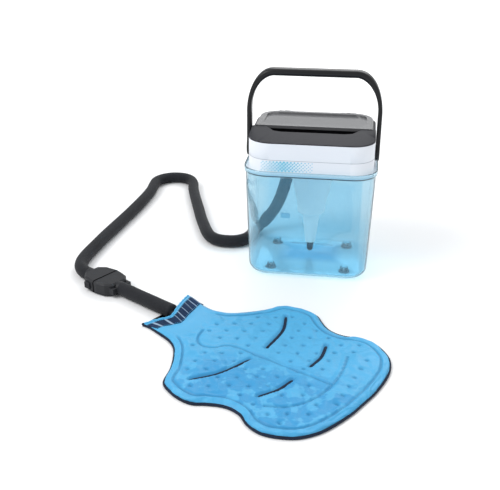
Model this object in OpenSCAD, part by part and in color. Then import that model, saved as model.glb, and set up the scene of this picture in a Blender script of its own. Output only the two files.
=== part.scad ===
// Portable cold therapy machine: a clear water tank with a carried pump lid, an insulated
// hose with a quick coupling, and a shaped wrap pad that lies in front of it on the floor.
// Millimetres, +Z up, the machine's front looks along -Y.

/* [Tank] */
// Width of the tank across its rim
rim_w = 240; // [220:1:280]
// Depth of the tank across its rim
rim_d = 212; // [200:1:250]
// Plan corner radius of the rim
rim_r = 44; // [38:1:50]
// Height of the top of the rim above the floor
rim_top = 213; // [190:1:250]
// Height of the thick band round the mouth
rim_h = 10; // [8:1:14]
// How far the band stands out from the wall below it
rim_step = 2; // [1:0.5:3]
// Wall thickness of the band at the lid's seat
rim_wall = 2.2; // [2:0.1:3]
// How far each side leans in from the band to the base
tank_taper = 6; // [3:0.5:8]
// Thickness of the tank's side walls
tank_wall = 2.5; // [2:0.1:3.5]
// Thickness of the tank's floor
tank_floor = 3; // [2.5:0.5:5]
// Radius of the rounded edge round the base
base_fillet = 16; // [12:1:18]
// Diameter of each rubber foot
foot_d = 20; // [16:1:24]
// Height that the feet lift the tank's base
foot_h = 3; // [2:0.5:6]
// Distance of the feet from the middle, left and right
foot_x = 70; // [60:1:76]
// Distance of the feet from the middle, front and back
foot_y = 57; // [50:1:64]

/* [Lid] */
// Distance from the rim's outside to the lid's side wall
lid_inset = 7.5; // [6.5:0.5:10]
// Plan corner radius of the lid
lid_r = 42; // [36:1:46]
// Wall thickness of the lid's shells
lid_wall = 2.5; // [2:0.1:3]
// Height of the lower band that shows above the rim
band_h = 19; // [16:1:26]
// Height of the upper housing band
housing_h = 30; // [27:1:38]
// Height of the deck's front edge above the housing
deck_lip = 1.5; // [1:0.5:3]
// Rise of the deck from its front edge to the hatch
deck_rise = 5.5; // [4:0.5:7]
// Thickness of the sealing ring under the lid
gasket_t = 1.8; // [1.2:0.1:2.6]
// Distance of the four lid screws from the lid's left and right sides
boss_inset = 13.5; // [12.5:0.5:17]
// Distance of the four lid screws from the start of the lid's corners
boss_back = 4.5; // [2:0.5:12]

/* [Hatch] */
// Place of the hatch's front edge, counted from the middle
hatch_front = -12; // [-20:1:-6]
// Margin of the deck that shows round the hatch
hatch_margin = 5; // [3.5:0.5:8]
// Thickness of the hatch
hatch_t = 5.5; // [4.5:0.5:7]
// Width of the sunk panel in the hatch
panel_w = 190; // [150:2:200]
// Depth of the sunk panel at its rear wall
panel_deep = 3.8; // [2:0.2:4]
// Width of the filling mouth under the hatch
mouth_w = 110; // [80:1:114]
// Depth of the filling mouth, front to back
mouth_d = 31; // [26:1:32]
// Distance of the filling mouth from the lid's rear side
mouth_inset = 14.5; // [13:0.5:17]
// Place of the left end of the filling mouth
mouth_left = -22; // [-24:1:-10]
// Half width of the finger recess at the hatch
recess_w = 88; // [60:1:92]
// Depth of the finger recess below the deck
recess_deep = 12; // [8:1:14]

/* [Handle] */
// Thickness of the handle's legs
leg_t = 8; // [6:0.5:10]
// Breadth of the handle's legs, front to back
leg_b = 24; // [18:1:28]
// Height of the handle's top above its pivots
handle_h = 145; // [125:1:180]
// Thickness of the grip
grip_t = 14; // [12:1:18]
// Length of the grip's straight part
grip_l = 146; // [120:2:160]
// Diameter of the pivot journals
pivot_d = 8; // [6:0.5:10]
// Place of the pivots, counted from the middle
pivot_y = -15; // [-22:1:-8]
// Gap between each leg and the lid's side
leg_gap = 1.2; // [1.2:0.1:2]

/* [Pump] */
// Place of the pump's axis, counted from the middle
pump_y = 5; // [0:1:5]
// Radius of the pump column under the lid
column_r = 43; // [40:0.5:43]
// Height of the pump column, from the lid to the pump cup
column_h = 93; // [86:1:98]
// Distance of the column's shoulder below the lid
shoulder_drop = 38; // [30:1:44]
// Radius of the column at its waist
waist_r = 29; // [27:0.5:31]
// Wall thickness of the column
column_wall = 2.2; // [1.8:0.1:2.6]
// Radius of the intake tube at its top
snout_top_r = 17; // [14:0.5:18]
// Radius of the intake tube at its foot
snout_foot_r = 10; // [8:0.5:11]
// Height of the intake tube's foot above the floor
snout_foot_z = 35; // [30:1:45]
// Diameter of the motor
motor_d = 32; // [26:1:33]
// Length of the motor
motor_l = 43; // [36:1:46]
// Diameter of the drive shaft
shaft_d = 4; // [3:0.5:5]
// Diameter of the impeller
impeller_d = 26; // [20:1:27]
// Outer diameter of the inner water tubes
tube_d = 8; // [6:0.5:8]

/* [Controls] */
// Diameter of the power button
button_d = 14; // [10:0.5:16]
// Travel of the power button
button_travel = 1.5; // [1:0.5:2]
// Bore of the power inlet
inlet_d = 5.5; // [5:0.1:6.5]
// Distance between the power inlet and the power button
control_pitch = 22; // [18:1:26]

/* [Hose] */
// Outer diameter of the hose's foam sleeve
hose_d = 25; // [20:0.5:26]
// Sideways place of the hose elbow on the lid's rear
port_x = -45; // [-48:1:-42]
// Distance of the elbow's outlet behind the lid
port_reach = 21.5; // [20:0.5:24]

/* [Coupling] */
// Width of the coupling
coupling_w = 60; // [54:1:66]
// Height of the coupling
coupling_h = 25; // [22:1:28]
// Length of the hose half
socket_l = 40; // [36:1:46]
// Length of the pad half
plug_l = 38; // [36:1:46]
// Length of the collar at each end
collar_l = 6; // [4:0.5:10]
// Distance between the two water ports
port_pitch = 18; // [16:0.5:20]
// Radius of the plug's nozzles
nozzle_r = 5.5; // [4.5:0.1:6]
// Travel of the release buttons
latch_travel = 2.5; // [1.5:0.5:3]

/* [Wrap pad] */
// Turn of the pad and coupling seen from above
wrap_turn = -31; // [-40:1:-25]
// Length of the pad from its neck to its far end
pad_l = 403; // [360:1:440]
// Greatest half width of the pad
pad_half = 160; // [140:1:180]
// Thickness of the backing cloth
backing_t = 2; // [1.5:0.5:3]
// Thickness of the water layer
bladder_t = 7; // [5:0.5:10]
// Width of the backing that shows round the water layer
pad_border = 4; // [2:0.5:8]
// Length of the sleeve at the neck
sleeve_l = 62; // [50:1:70]
// Height of the sleeve's mouth
sleeve_h = 29; // [28:0.5:34]
// Width of the bending slots
slot_w = 5; // [3:0.5:8]
// Thickness of the knitted tape in each slot
tape_t = 3; // [1.5:0.5:4]

/* [Hidden] */
$fn = 64;

// Clearances and small allowances
fit = 0.05;          // running fit, on the radius
gap = 0.3;           // between separate bodies
lap = 0.1;           // overlap that joins shapes of one solid
far = 400;           // longer than any piece, for cuts
bend_swell = 0.4;    // how far a tube's bends stand out from its straights

// Place of the machine's middle in the part's frame
machine_x = 54;
machine_y = 213;

// Heights
base_z = foot_h;
ledge_z = rim_top - rim_h;
tray_z = ledge_z + gasket_t;
tray_t = 3;
split_z = rim_top + band_h;
deck_z = split_z + housing_h;
deck_plug = 2.4;
rear_top = deck_z + 1;
deck_top = deck_z + deck_lip + deck_rise;
hatch_z = deck_top - hatch_t + 1.5;
pivot_z = split_z;

// Plan sizes
lid_w = rim_w - 2 * lid_inset;
lid_d = rim_d - 2 * lid_inset;
boss_x = lid_w / 2 - boss_inset;
boss_y = lid_d / 2 - lid_r - boss_back;
body_w = rim_w - 2 * rim_step;
body_d = rim_d - 2 * rim_step;
body_r = rim_r - rim_step;
seat_w = rim_w - 2 * rim_wall;
seat_d = rim_d - 2 * rim_wall;
seat_r = rim_r - rim_wall;
tray_clear = 0.4;

// Hatch and its hinge
hatch_pin_d = 3;
barrel_r = 3;
hinge_y = lid_d / 2 - hatch_margin + 1.5;
hinge_z = hatch_z + hatch_t - barrel_r;
hinge_x = 60;
ear_w = 8;
barrel_w = 10;
mouth_back = lid_d / 2 - mouth_inset;
mouth_wall = 2;
mouth_r = 5;
mouth_x = mouth_left + mouth_w / 2;
mouth_y = mouth_back - mouth_d / 2;

// Pump column stations
column_top_z = tray_z;
shoulder_z = tray_z - shoulder_drop;
shoulder_r = column_r - 4;
floor_z = tray_z - column_h;
waist_z = floor_z + 10;
floor_t = 3;
volute_z = floor_z - 14;
tube_offset = motor_d / 2 + tube_d / 2 + 0.6;
tube_x = -tube_offset * sin(45);
tube_y = pump_y + tube_offset * cos(45);
motor_z = floor_z + 10;
plate_t = 3;
plate_z = motor_z + motor_l;
chamber_r = impeller_d / 2 + 1.5;

// Hose port
port_z = split_z + 11;
port_y = lid_d / 2 + port_reach;
elbow_r = 9;
elbow_drop = port_z - 214 * rim_top / 213;
lumen_r = 3;
lumen_rise = 4.5;
return_y = lid_d / 2 - 20.5;

// Power button and inlet, on the housing's rear wall
control_z = split_z + 15;
button_x = 40;
button_flange = 1.5;
inlet_x = button_x - control_pitch;

// Coupling, in the wrap's frame: x runs from the hose to the pad
wrap_left = 230;
wrap_front = 260;
wrap_x = machine_x - wrap_left;
wrap_y = machine_y - wrap_front;
coupling_s = -150;
hose_in = 14;
coupling_z = hose_d / 2;
split_gap = 0.3;
collar_r = hose_d / 2 + 1.5;
nozzle_l = 18;
nozzle_root = 6;
seal_r = 0.65;
seal_stand = 0.2;
seal_x = -10;
release_l = 14;
release_h = 12;
release_t = 11;
release_stand = 3;
spring_r = 2;

// Pad outline from the neck to the far end: [share of length, share of half width]
PAD_CURVE = [
    [0, 0.39], [0.08, 0.37], [0.16, 0.37], [0.22, 0.43], [0.27, 0.55], [0.32, 0.72], [0.36, 0.91],
    [0.42, 0.98], [0.48, 1], [0.53, 0.98], [0.57, 0.91], [0.61, 0.85], [0.65, 0.82], [0.7, 0.83],
    [0.75, 0.89], [0.81, 0.91], [0.87, 0.86], [0.93, 0.75], [0.97, 0.58], [0.99, 0.38], [1, 0.16]
];

// Bending slots on the pad: three points each, millimetres along and across the pad
SLOTS = [
    [[174, 118], [197, 78], [209, 20]], [[278, 86], [290, 54], [292, 22]],
    [[174, -118], [197, -78], [209, -20]], [[278, -86], [290, -54], [292, -22]]
];

// Route of the main hose from the elbow to the coupling, about the machine's middle
HOSE = [
    [-45, 120, 214], [-45, 120, 206], [-47, 120, 188], [-52, 121, 160], [-58, 122, 130],
    [-65, 123, 102], [-73, 124, 76], [-83, 122, 54], [-95, 117, 36], [-108, 109, 23],
    [-118, 97, 15], [-124, 81, 13], [-126, 62, 13], [-134, 42, 13], [-150, 28, 13],
    [-171, 24, 13], [-192, 28, 13], [-208, 41, 13], [-220, 62, 13], [-234, 97, 13],
    [-248, 135, 13], [-262, 178, 13], [-276, 220, 13], [-290, 263, 13], [-303, 306, 13],
    [-312, 343, 13], [-324, 366, 13], [-345, 379, 13], [-371, 379, 13], [-392, 366, 13],
    [-404, 344, 13], [-404, 318, 13], [-401, 280, 13], [-402, 235, 13], [-405, 190, 13],
    [-409, 145, 13], [-414, 100, 13], [-419, 55, 13], [-424, 10, 13], [-428, -35, 13],
    [-431, -75, 13], [-431, -104, 13], [-427, -126, 13], [-419, -142, 13], [-408, -153, 12.5],
    [-398, -159, 12.5]
];

// ---------------------------------------------------------------- shared shapes

// Rounded rectangle about the middle
module rounded_rect(w, d, r) {
    square([w - 2 * r, d], center = true);
    square([w, d - 2 * r], center = true);
    for (x = [-1, 1], y = [-1, 1])
        translate([x * (w / 2 - r), y * (d / 2 - r)]) circle(r);
}

// Plate with rounded corners, from z up by h
module slab(w, d, r, z, h) {
    translate([0, 0, z]) linear_extrude(h) rounded_rect(w, d, r);
}

// Open ring between two rounded rectangles of the same middle
module ring_wall(w, d, r, wall, z, h) {
    difference() {
        slab(w, d, r, z, h);
        slab(w - 2 * wall, d - 2 * wall, r - wall, z - 1, h + 2);
    }
}

// Solid with leaning sides and a rounded lower edge
module tub(w, d, r, top_z, taper, low_z, fillet) {
    low_r = r - taper / 2;
    hull() {
        slab(w, d, r, top_z - lap, lap);
        for (x = [-1, 1], y = [-1, 1])
            translate([x * (w / 2 - taper - low_r), y * (d / 2 - taper - low_r), low_z + fillet])
                rotate_extrude($fn = 40) translate([low_r - fillet, 0]) circle(fillet, $fn = 32);
    }
}

// Cylinder along X between two places
module bar_x(x0, x1, y, z, r) {
    translate([x0, y, z]) rotate([0, 90, 0]) cylinder(h = x1 - x0, r = r);
}

// Cylinder along Y between two places
module bar_y(x, y0, y1, z, r) {
    translate([x, y1, z]) rotate([90, 0, 0]) cylinder(h = y1 - y0, r = r);
}

// Straight round rod between two points
module rod(a, b, r) {
    v = b - a;
    translate(a)
        rotate([0, acos(v[2] / norm(v)), atan2(v[1], v[0])]) cylinder(h = norm(v), r = r);
}

module at_machine() {
    translate([machine_x, machine_y, 0]) children();
}

module at_wrap() {
    translate([wrap_x, wrap_y, 0]) rotate(wrap_turn) children();
}

module at_coupling() {
    at_wrap() translate([coupling_s, 0, coupling_z]) children();
}

module at_pump() {
    at_machine() translate([0, pump_y, 0]) children();
}

// Right and left copies
module both_sides() {
    children();
    mirror([1, 0, 0]) children();
}

// Four copies at plus and minus x and y
module four_places(x, y) {
    for (i = [-1, 1], j = [-1, 1]) translate([i * x, j * y, 0]) children();
}

// ---------------------------------------------------------------- swept hose

function unit(v) = v / norm(v);
function across(v, t) = unit(v - (v * t) * t);
function tangent(p, i) = unit(p[min(i + 1, len(p) - 1)] - p[max(i - 1, 0)]);
function side_vectors(p, first) = [
    for (i = 0, n = across(first, tangent(p, 0)); i < len(p);
         i = i + 1, n = i < len(p) ? across(n, tangent(p, i)) : n) n
];

// Tube of one closed polyhedron that follows the points p
module sweep_tube(p, r, sides, first) {
    n = side_vectors(p, first);
    rings = [
        for (i = [0:len(p) - 1], k = [0:sides - 1])
            let (a = 360 * k / sides, b = cross(tangent(p, i), n[i]))
                p[i] + r * (cos(a) * n[i] + sin(a) * b)
    ];
    walls = [
        for (i = [0:len(p) - 2], k = [0:sides - 1])
            let (a = i * sides + k, b = i * sides + (k + 1) % sides)
                [a, a + sides, b + sides, b]
    ];
    start = [for (k = [0:sides - 1]) k];
    end = [for (k = [sides - 1:-1:0]) (len(p) - 1) * sides + k];
    polyhedron(points = rings, faces = concat(walls, [start, end]), convexity = 6);
}

// ---------------------------------------------------------------- tank

module tank() {
    sump_w = 90;
    sump_d = 70;
    sump_y = 18;
    boss_r = 7;
    boss_h = 7;
    mark_x = -59;
    mark_z = 47;
    color("skyblue", 0.5) at_machine() {
        difference() {
            union() {
                tub(body_w, body_d, body_r, ledge_z + lap, tank_taper, base_z, base_fillet);
                slab(rim_w, rim_d, rim_r, ledge_z, rim_h);
            }
            tub(body_w - 2 * tank_wall, body_d - 2 * tank_wall, body_r - tank_wall,
                ledge_z + 1, tank_taper, base_z + tank_floor, base_fillet - tank_wall);
            slab(seat_w, seat_d, seat_r, ledge_z, rim_h + 1);
            translate([0, sump_y, 0])
                slab(sump_w, sump_d, 10, base_z + tank_floor - 1, 2);
            four_places(foot_x, foot_y) {
                translate([0, 0, base_z - 1]) cylinder(h = 2, r = foot_d / 2 + fit);
                translate([0, 0, base_z - 1]) cylinder(h = 7, r = 1.6);
            }
        }
        difference() {
            four_places(foot_x, foot_y)
                translate([0, 0, base_z + tank_floor - lap]) cylinder(h = boss_h, r = boss_r);
            four_places(foot_x, foot_y)
                translate([0, 0, base_z]) cylinder(h = 6, r = 1.6);
        }
        // Small moulded plate on the inside of the rear wall
        translate([mark_x, body_d / 2 - tank_taper - 1.2, mark_z])
            cube([19, 3, 11], center = true);
    }
}

module tank_feet() {
    color("dimgray") at_machine() four_places(foot_x, foot_y)
        difference() {
            cylinder(h = base_z + 1, r = foot_d / 2);
            translate([0, 0, -1]) cylinder(h = 2.8, r = 3.4);
            translate([0, 0, -1]) cylinder(h = foot_h + 3, r = 1.6);
        }
}

module foot_screws() {
    color("silver") at_machine() four_places(foot_x, foot_y) {
        translate([0, 0, 0.6]) cylinder(h = 1.2, r = 3.2);
        translate([0, 0, 1.7]) cylinder(h = foot_h + 3.6, r = 1.5);
    }
}

// ---------------------------------------------------------------- lid

module lid_gasket() {
    color("darkslategray") at_machine()
        ring_wall(seat_w - 2 * tray_clear, seat_d - 2 * tray_clear, seat_r - tray_clear,
                  1.9, ledge_z, gasket_t);
}

// Half round seat in a side wall for the handle's boss
module boss_holes() {
    both_sides() bar_x(lid_w / 2 - 15, lid_w / 2 + 5, pivot_y, pivot_z, 6 + fit);
}

module mouth_plan(grow) {
    translate([mouth_x, mouth_y])
        rounded_rect(mouth_w + 2 * grow, mouth_d + 2 * grow, mouth_r + grow);
}

module lid_base() {
    lip = 4;
    lip_t = 1.5;
    color("white") at_machine() difference() {
        union() {
            slab(seat_w - 2 * tray_clear, seat_d - 2 * tray_clear, seat_r - tray_clear,
                 tray_z, tray_t);
            ring_wall(lid_w, lid_d, lid_r, lid_wall, tray_z + tray_t - lap,
                      split_z - tray_z - tray_t + lap);
            ring_wall(lid_w - 2 * lid_wall + lap, lid_d - 2 * lid_wall + lap,
                      lid_r - lid_wall, lip_t, split_z - 6, 6);
            ring_wall(lid_w - 2 * lid_wall - 2 * lap, lid_d - 2 * lid_wall - 2 * lap,
                      lid_r - lid_wall - lap, lip_t - lap, split_z - 1, 1 + lip);
            four_places(boss_x, boss_y)
                translate([0, 0, tray_z]) cylinder(h = split_z + lip - tray_z, r = 4);
        }
        translate([0, 0, tray_z - 1]) linear_extrude(tray_t + 2) mouth_plan(mouth_wall + fit);
        translate([0, pump_y, tray_z - 1]) cylinder(h = tray_t + 2, r = column_r - 8);
        translate([port_x, return_y, tray_z - 1]) cylinder(h = tray_t + 2, r = tube_d / 2 + fit);
        four_places(boss_x, boss_y) {
            translate([0, 0, tray_z - 1]) cylinder(h = far, r = 1.8);
            translate([0, 0, tray_z - 1]) cylinder(h = 3, r = 3.6);
        }
        boss_holes();
        bar_y(port_x, 0, lid_d / 2 - lid_wall, port_z, elbow_r + 3 + gap);
    }
}

// Chute from the hatch down through the tray, held by a flange on the tray
module mouth_chute() {
    flange_w = 3;
    flange_t = 2;
    color("white") at_machine() difference() {
        union() {
            translate([0, 0, tray_z]) linear_extrude(deck_z - deck_plug - tray_z)
                mouth_plan(mouth_wall);
            translate([0, 0, tray_z + tray_t]) linear_extrude(flange_t)
                mouth_plan(mouth_wall + flange_w);
        }
        translate([0, 0, tray_z - 1]) linear_extrude(far) mouth_plan(0);
    }
}

module lid_housing() {
    color("white") at_machine() difference() {
        ring_wall(lid_w, lid_d, lid_r, lid_wall, split_z, housing_h);
        boss_holes();
        bar_y(port_x, 0, lid_d, port_z, elbow_r + fit);
        bar_y(button_x, 0, lid_d, control_z, button_d / 2 + gap);
        bar_y(inlet_x, 0, lid_d, control_z, 4.5);
    }
}

// Outer form of the deck: it climbs from the front edge to the hatch and drops behind it
module deck_form(inset, drop) {
    run = lid_d / 2 + hatch_front;
    difference() {
        slab(lid_w - 2 * inset, lid_d - 2 * inset, lid_r - inset, deck_z - 10,
             10 + deck_lip + deck_rise - drop);
        translate([-far / 2, -lid_d / 2, deck_z + deck_lip - drop])
            rotate([atan(deck_rise / run), 0, 0])
                translate([0, -10, 0]) cube([far, run + 10, 40]);
        translate([-far / 2, hatch_front - gap, rear_top - drop]) cube([far, far, 40]);
    }
}

// Finger recess at one height, wider at the top
module recess_plan(grow) {
    front = hatch_front - 30 - grow;
    back = hatch_front + 14 + grow;
    polygon([
        [-recess_w - grow, back], [-recess_w - grow, hatch_front - 2], [-recess_w + 16, front + 5],
        [-recess_w + 34, front], [recess_w - 34, front], [recess_w - 16, front + 5],
        [recess_w + grow, hatch_front - 2], [recess_w + grow, back]
    ]);
}

module recess_form(grow) {
    floor_z = deck_z + 4 - recess_deep - grow;
    hull() {
        translate([0, 0, deck_top + 2]) linear_extrude(1) recess_plan(grow);
        translate([0, 4, floor_z]) linear_extrude(1)
            scale([0.93, 1]) intersection() {
                recess_plan(grow);
                translate([-far / 2, hatch_front - 26]) square([far, 60]);
            }
    }
}

module top_deck() {
    ear_gap = 0.3;
    color("dimgray") at_machine() {
        difference() {
            union() {
                intersection() {
                    deck_form(0, 0);
                    translate([0, 0, deck_z]) linear_extrude(far) rounded_rect(lid_w, lid_d, lid_r);
                }
                slab(lid_w - 2 * lid_wall - 2 * ear_gap, lid_d - 2 * lid_wall - 2 * ear_gap,
                     lid_r - lid_wall - ear_gap, deck_z - deck_plug, deck_plug + lap);
                intersection() {
                    recess_form(1.8);
                    deck_form(lid_wall + 1, 0);
                }
                both_sides() translate([hinge_x - ear_w / 2, hinge_y - barrel_r, deck_z])
                    cube([ear_w, 2 * barrel_r, hinge_z - deck_z]);
                both_sides() bar_x(hinge_x - ear_w / 2, hinge_x + ear_w / 2, hinge_y, hinge_z,
                                   barrel_r);
                four_places(boss_x, boss_y)
                    translate([0, 0, split_z + 4]) cylinder(h = deck_z - split_z - 4, r = 4);
            }
            // Hollow under the sloped front, kept clear of the recess tray
            difference() {
                intersection() {
                    deck_form(lid_wall + 3, 2.4);
                    translate([-far / 2, -far / 2, deck_z - deck_plug - 1])
                        cube([far, far / 2 + hatch_front - 3, 20]);
                }
                recess_form(1.8);
                four_places(boss_x, boss_y) translate([0, 0, split_z]) cylinder(h = 60, r = 4);
            }
            recess_form(0);
            translate([0, 0, deck_z - 5]) linear_extrude(20) mouth_plan(0);
            four_places(boss_x, boss_y)
                translate([0, 0, split_z]) cylinder(h = housing_h - 4, r = 1.5 + fit);
            both_sides() bar_x(hinge_x - ear_w, hinge_x + ear_w, hinge_y, hinge_z,
                               hatch_pin_d / 2 + fit);
        }
    }
}

module lid_screws() {
    shaft_l = 36;
    color("silver") at_machine() four_places(boss_x, boss_y) {
        translate([0, 0, tray_z + 0.6]) cylinder(h = 1.4, r = 3.2);
        translate([0, 0, tray_z + 1.9]) cylinder(h = shaft_l, r = 1.5);
    }
}

// ---------------------------------------------------------------- hatch

module hatch_plate() {
    intersection() {
        hull() {
            slab(lid_w - 2 * hatch_margin, lid_d - 2 * hatch_margin, lid_r - hatch_margin,
                 hatch_z, hatch_t - 1.5);
            slab(lid_w - 2 * hatch_margin - 3, lid_d - 2 * hatch_margin - 3,
                 lid_r - hatch_margin - 1.5, hatch_z, hatch_t);
        }
        translate([-far / 2, hatch_front, 0]) cube([far, far, far]);
    }
}

// Sunk panel: its floor falls away from the front towards the rear wall
module panel_cut() {
    top = hatch_z + hatch_t;
    front = hatch_front + 8;
    back = lid_d / 2 - hatch_margin - 10;
    intersection() {
        translate([0, (front + back) / 2, 0])
            slab(panel_w, back - front, 20, top - 10, 20);
        translate([-far / 2, front, top])
            rotate([-atan(panel_deep / (back - front)), 0, 0]) cube([far, far, 20]);
    }
}

module hatch() {
    color("darkgray") at_machine() difference() {
        union() {
            difference() {
                hatch_plate();
                panel_cut();
                both_sides()
                    translate([hinge_x - ear_w / 2 - gap, hinge_y - barrel_r - gap, hatch_z - 1])
                        cube([ear_w + 2 * gap, 20, 20]);
            }
            both_sides() for (x = [hinge_x - ear_w / 2 - gap - barrel_w,
                                   hinge_x + ear_w / 2 + gap])
                bar_x(x, x + barrel_w, hinge_y, hinge_z, barrel_r);
        }
        both_sides() bar_x(hinge_x - 20, hinge_x + 20, hinge_y, hinge_z, hatch_pin_d / 2 + fit);
    }
}

module hatch_seal() {
    seal_gap = 0.2;
    color("darkslategray") at_machine()
        translate([0, 0, rear_top + seal_gap])
            linear_extrude(hatch_z - rear_top - seal_gap) difference() {
                mouth_plan(4);
                mouth_plan(1.5);
            }
}

module hatch_pins() {
    reach = ear_w / 2 + gap + barrel_w;
    color("silver") at_machine() both_sides()
        bar_x(hinge_x - reach, hinge_x + reach, hinge_y, hinge_z, hatch_pin_d / 2);
}

// ---------------------------------------------------------------- handle

// Arch line that the handle's inner and outer edges follow
function arch(foot_x, spring_z, top_z, flat) = [
    for (a = [0:6:90])
        [flat + (foot_x - flat) * cos(a), spring_z + (top_z - spring_z) * sin(a)]
];

function mirrored(points) = [for (i = [len(points) - 1:-1:0]) [-points[i][0], points[i][1]]];

module arch_plan() {
    inner = lid_w / 2 + leg_gap;
    spring = pivot_z + handle_h * 0.47;
    top = pivot_z + handle_h;
    outside = arch(inner + leg_t, spring, top, grip_l / 2);
    inside = arch(inner, spring, top - grip_t, grip_l / 2);
    low = pivot_z - 20;
    difference() {
        polygon(concat([[inner + leg_t, low]], outside, mirrored(outside),
                       [[-inner - leg_t, low]]));
        polygon(concat([[inner, low - 1]], inside, mirrored(inside), [[-inner, low - 1]]));
    }
}

module handle() {
    outer = lid_w / 2 + leg_gap + leg_t;
    tip_r = band_h - gap - 0.3;
    color("#222222") at_machine() difference() {
        intersection() {
            translate([0, pivot_y + leg_b / 2, 0]) rotate([90, 0, 0])
                linear_extrude(leg_b) arch_plan();
            union() {
                bar_x(-outer - 1, outer + 1, pivot_y, pivot_z, tip_r);
                translate([-far / 2, pivot_y - leg_b / 2, pivot_z]) cube([far, leg_b, far]);
            }
        }
        both_sides() bar_x(lid_w / 2, outer + 1, pivot_y, pivot_z, pivot_d / 2 + fit);
        both_sides() bar_x(outer - 1.9, outer + 1, pivot_y, pivot_z, 6.8);
    }
}

module pivot_bosses() {
    outer = lid_w / 2 + leg_gap + leg_t;
    color("white") at_machine() both_sides() difference() {
        union() {
            bar_x(lid_w / 2 - 7, lid_w / 2 + lap, pivot_y, pivot_z, 6);
            bar_x(lid_w / 2, lid_w / 2 + leg_gap - gap, pivot_y, pivot_z, 8);
            bar_x(lid_w / 2, outer - 2, pivot_y, pivot_z, pivot_d / 2);
        }
        bar_x(lid_w / 2 - 5, outer, pivot_y, pivot_z, 1.5 + fit);
    }
}

module pivot_screws() {
    outer = lid_w / 2 + leg_gap + leg_t;
    color("silver") at_machine() both_sides() {
        bar_x(outer - 1.9, outer - 0.4, pivot_y, pivot_z, 6.4);
        bar_x(outer - 12, outer - 1.8, pivot_y, pivot_z, 1.5);
    }
}

// ---------------------------------------------------------------- pump

// Half profile of the column, from the lid down to the waist
module column_profile(inset) {
    polygon([
        [0, column_top_z + lap], [column_r - inset, column_top_z + lap],
        [column_r - inset, column_top_z - 4], [shoulder_r - inset, shoulder_z],
        [waist_r - inset, waist_z], [waist_r - 2 - inset, floor_z + inset],
        [0, floor_z + inset]
    ]);
}

module pump_column() {
    color("white") at_pump() difference() {
        rotate_extrude() intersection() {
            column_profile(0);
            square([far, column_top_z]);
        }
        difference() {
            rotate_extrude() column_profile(column_wall);
            cylinder(h = floor_z + floor_t, r = far);
        }
        translate([0, 0, floor_z - 1]) cylinder(h = floor_t + 2, r = 6 + fit);
        translate([tube_x, tube_y - pump_y, floor_z - 1])
            cylinder(h = floor_t + 2, r = tube_d / 2 + fit);
    }
}

module shaft_seal() {
    color("darkslategray") at_pump() translate([0, 0, floor_z]) difference() {
        cylinder(h = floor_t + 2, r = 6);
        translate([0, 0, -1]) cylinder(h = floor_t + 4, r = shaft_d / 2 + fit);
    }
}

// Cup under the column in which the impeller turns, with the outlet at one side
module pump_volute() {
    chamber_h = floor_z - volute_z - 3;
    color("white") at_pump() difference() {
        union() {
            translate([0, 0, volute_z + 3]) cylinder(h = chamber_h, r = waist_r - 2);
            translate([0, 0, volute_z]) cylinder(h = 3 + lap, r1 = waist_r - 4, r2 = waist_r - 2);
        }
        translate([0, 0, volute_z + 3]) cylinder(h = far, r = chamber_r);
        translate([0, 0, volute_z - 1]) cylinder(h = 6, r = 8);
        translate([tube_x, tube_y - pump_y, floor_z - 8])
            cylinder(h = 9, r = tube_d / 2 + fit);
    }
}

module pump_motor() {
    color("slategray") at_pump() translate([0, 0, motor_z]) difference() {
        union() {
            cylinder(h = motor_l, r = motor_d / 2);
            translate([0, 0, -3]) cylinder(h = 3 + lap, r = 7);
        }
        translate([0, 0, -4]) cylinder(h = motor_l, r = shaft_d / 2 + fit);
    }
}

module motor_plate() {
    reach = shoulder_r - column_wall - 0.8;
    color("gainsboro") at_pump() difference() {
        translate([0, 0, plate_z]) cylinder(h = plate_t, r = reach);
        translate([tube_x, tube_y - pump_y, plate_z - 1])
            cylinder(h = plate_t + 2, r = tube_d / 2 + fit);
    }
}

module motor_shaft() {
    foot_z = volute_z + 5;
    color("silver") at_pump() translate([0, 0, foot_z])
        cylinder(h = motor_z + motor_l / 2 - foot_z, r = shaft_d / 2);
}

module impeller() {
    disc_z = volute_z + 5;
    blades = 6;
    color("gainsboro") at_pump() difference() {
        union() {
            translate([0, 0, disc_z]) cylinder(h = 1.5, r = impeller_d / 2);
            translate([0, 0, disc_z]) cylinder(h = 6, r = shaft_d / 2 + 2);
            for (k = [0:blades - 1]) rotate(360 * k / blades)
                translate([shaft_d / 2 + 1, -0.6, disc_z])
                    cube([impeller_d / 2 - shaft_d / 2 - 1.5, 1.2, 5]);
        }
        translate([0, 0, disc_z - 1]) cylinder(h = 10, r = shaft_d / 2);
    }
}

module intake_tube() {
    color("white") at_pump() difference() {
        union() {
            translate([0, 0, snout_foot_z])
                cylinder(h = volute_z - snout_foot_z, r1 = snout_foot_r, r2 = snout_top_r);
        }
        translate([0, 0, snout_foot_z - lap])
            cylinder(h = volute_z - snout_foot_z + 2 * lap, r1 = snout_foot_r - 2,
                     r2 = snout_top_r - 2);
    }
}

module intake_strainer() {
    tip_z = base_z + tank_floor + 8;
    slots = 6;
    color("#223344") at_pump() difference() {
        union() {
            translate([0, 0, tip_z + 6])
                cylinder(h = snout_foot_z - tip_z - 6, r1 = 6, r2 = snout_foot_r - 3);
            translate([0, 0, tip_z + 6]) sphere(6);
            translate([0, 0, snout_foot_z - lap]) cylinder(h = 8, r = snout_foot_r - 2.2);
        }
        translate([0, 0, tip_z + 6]) cylinder(h = far, r = 4);
        for (k = [0:slots - 1]) rotate(360 * k / slots)
            translate([3, -0.8, tip_z + 7]) cube([6, 1.6, snout_foot_z - tip_z - 10]);
    }
}

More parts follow.
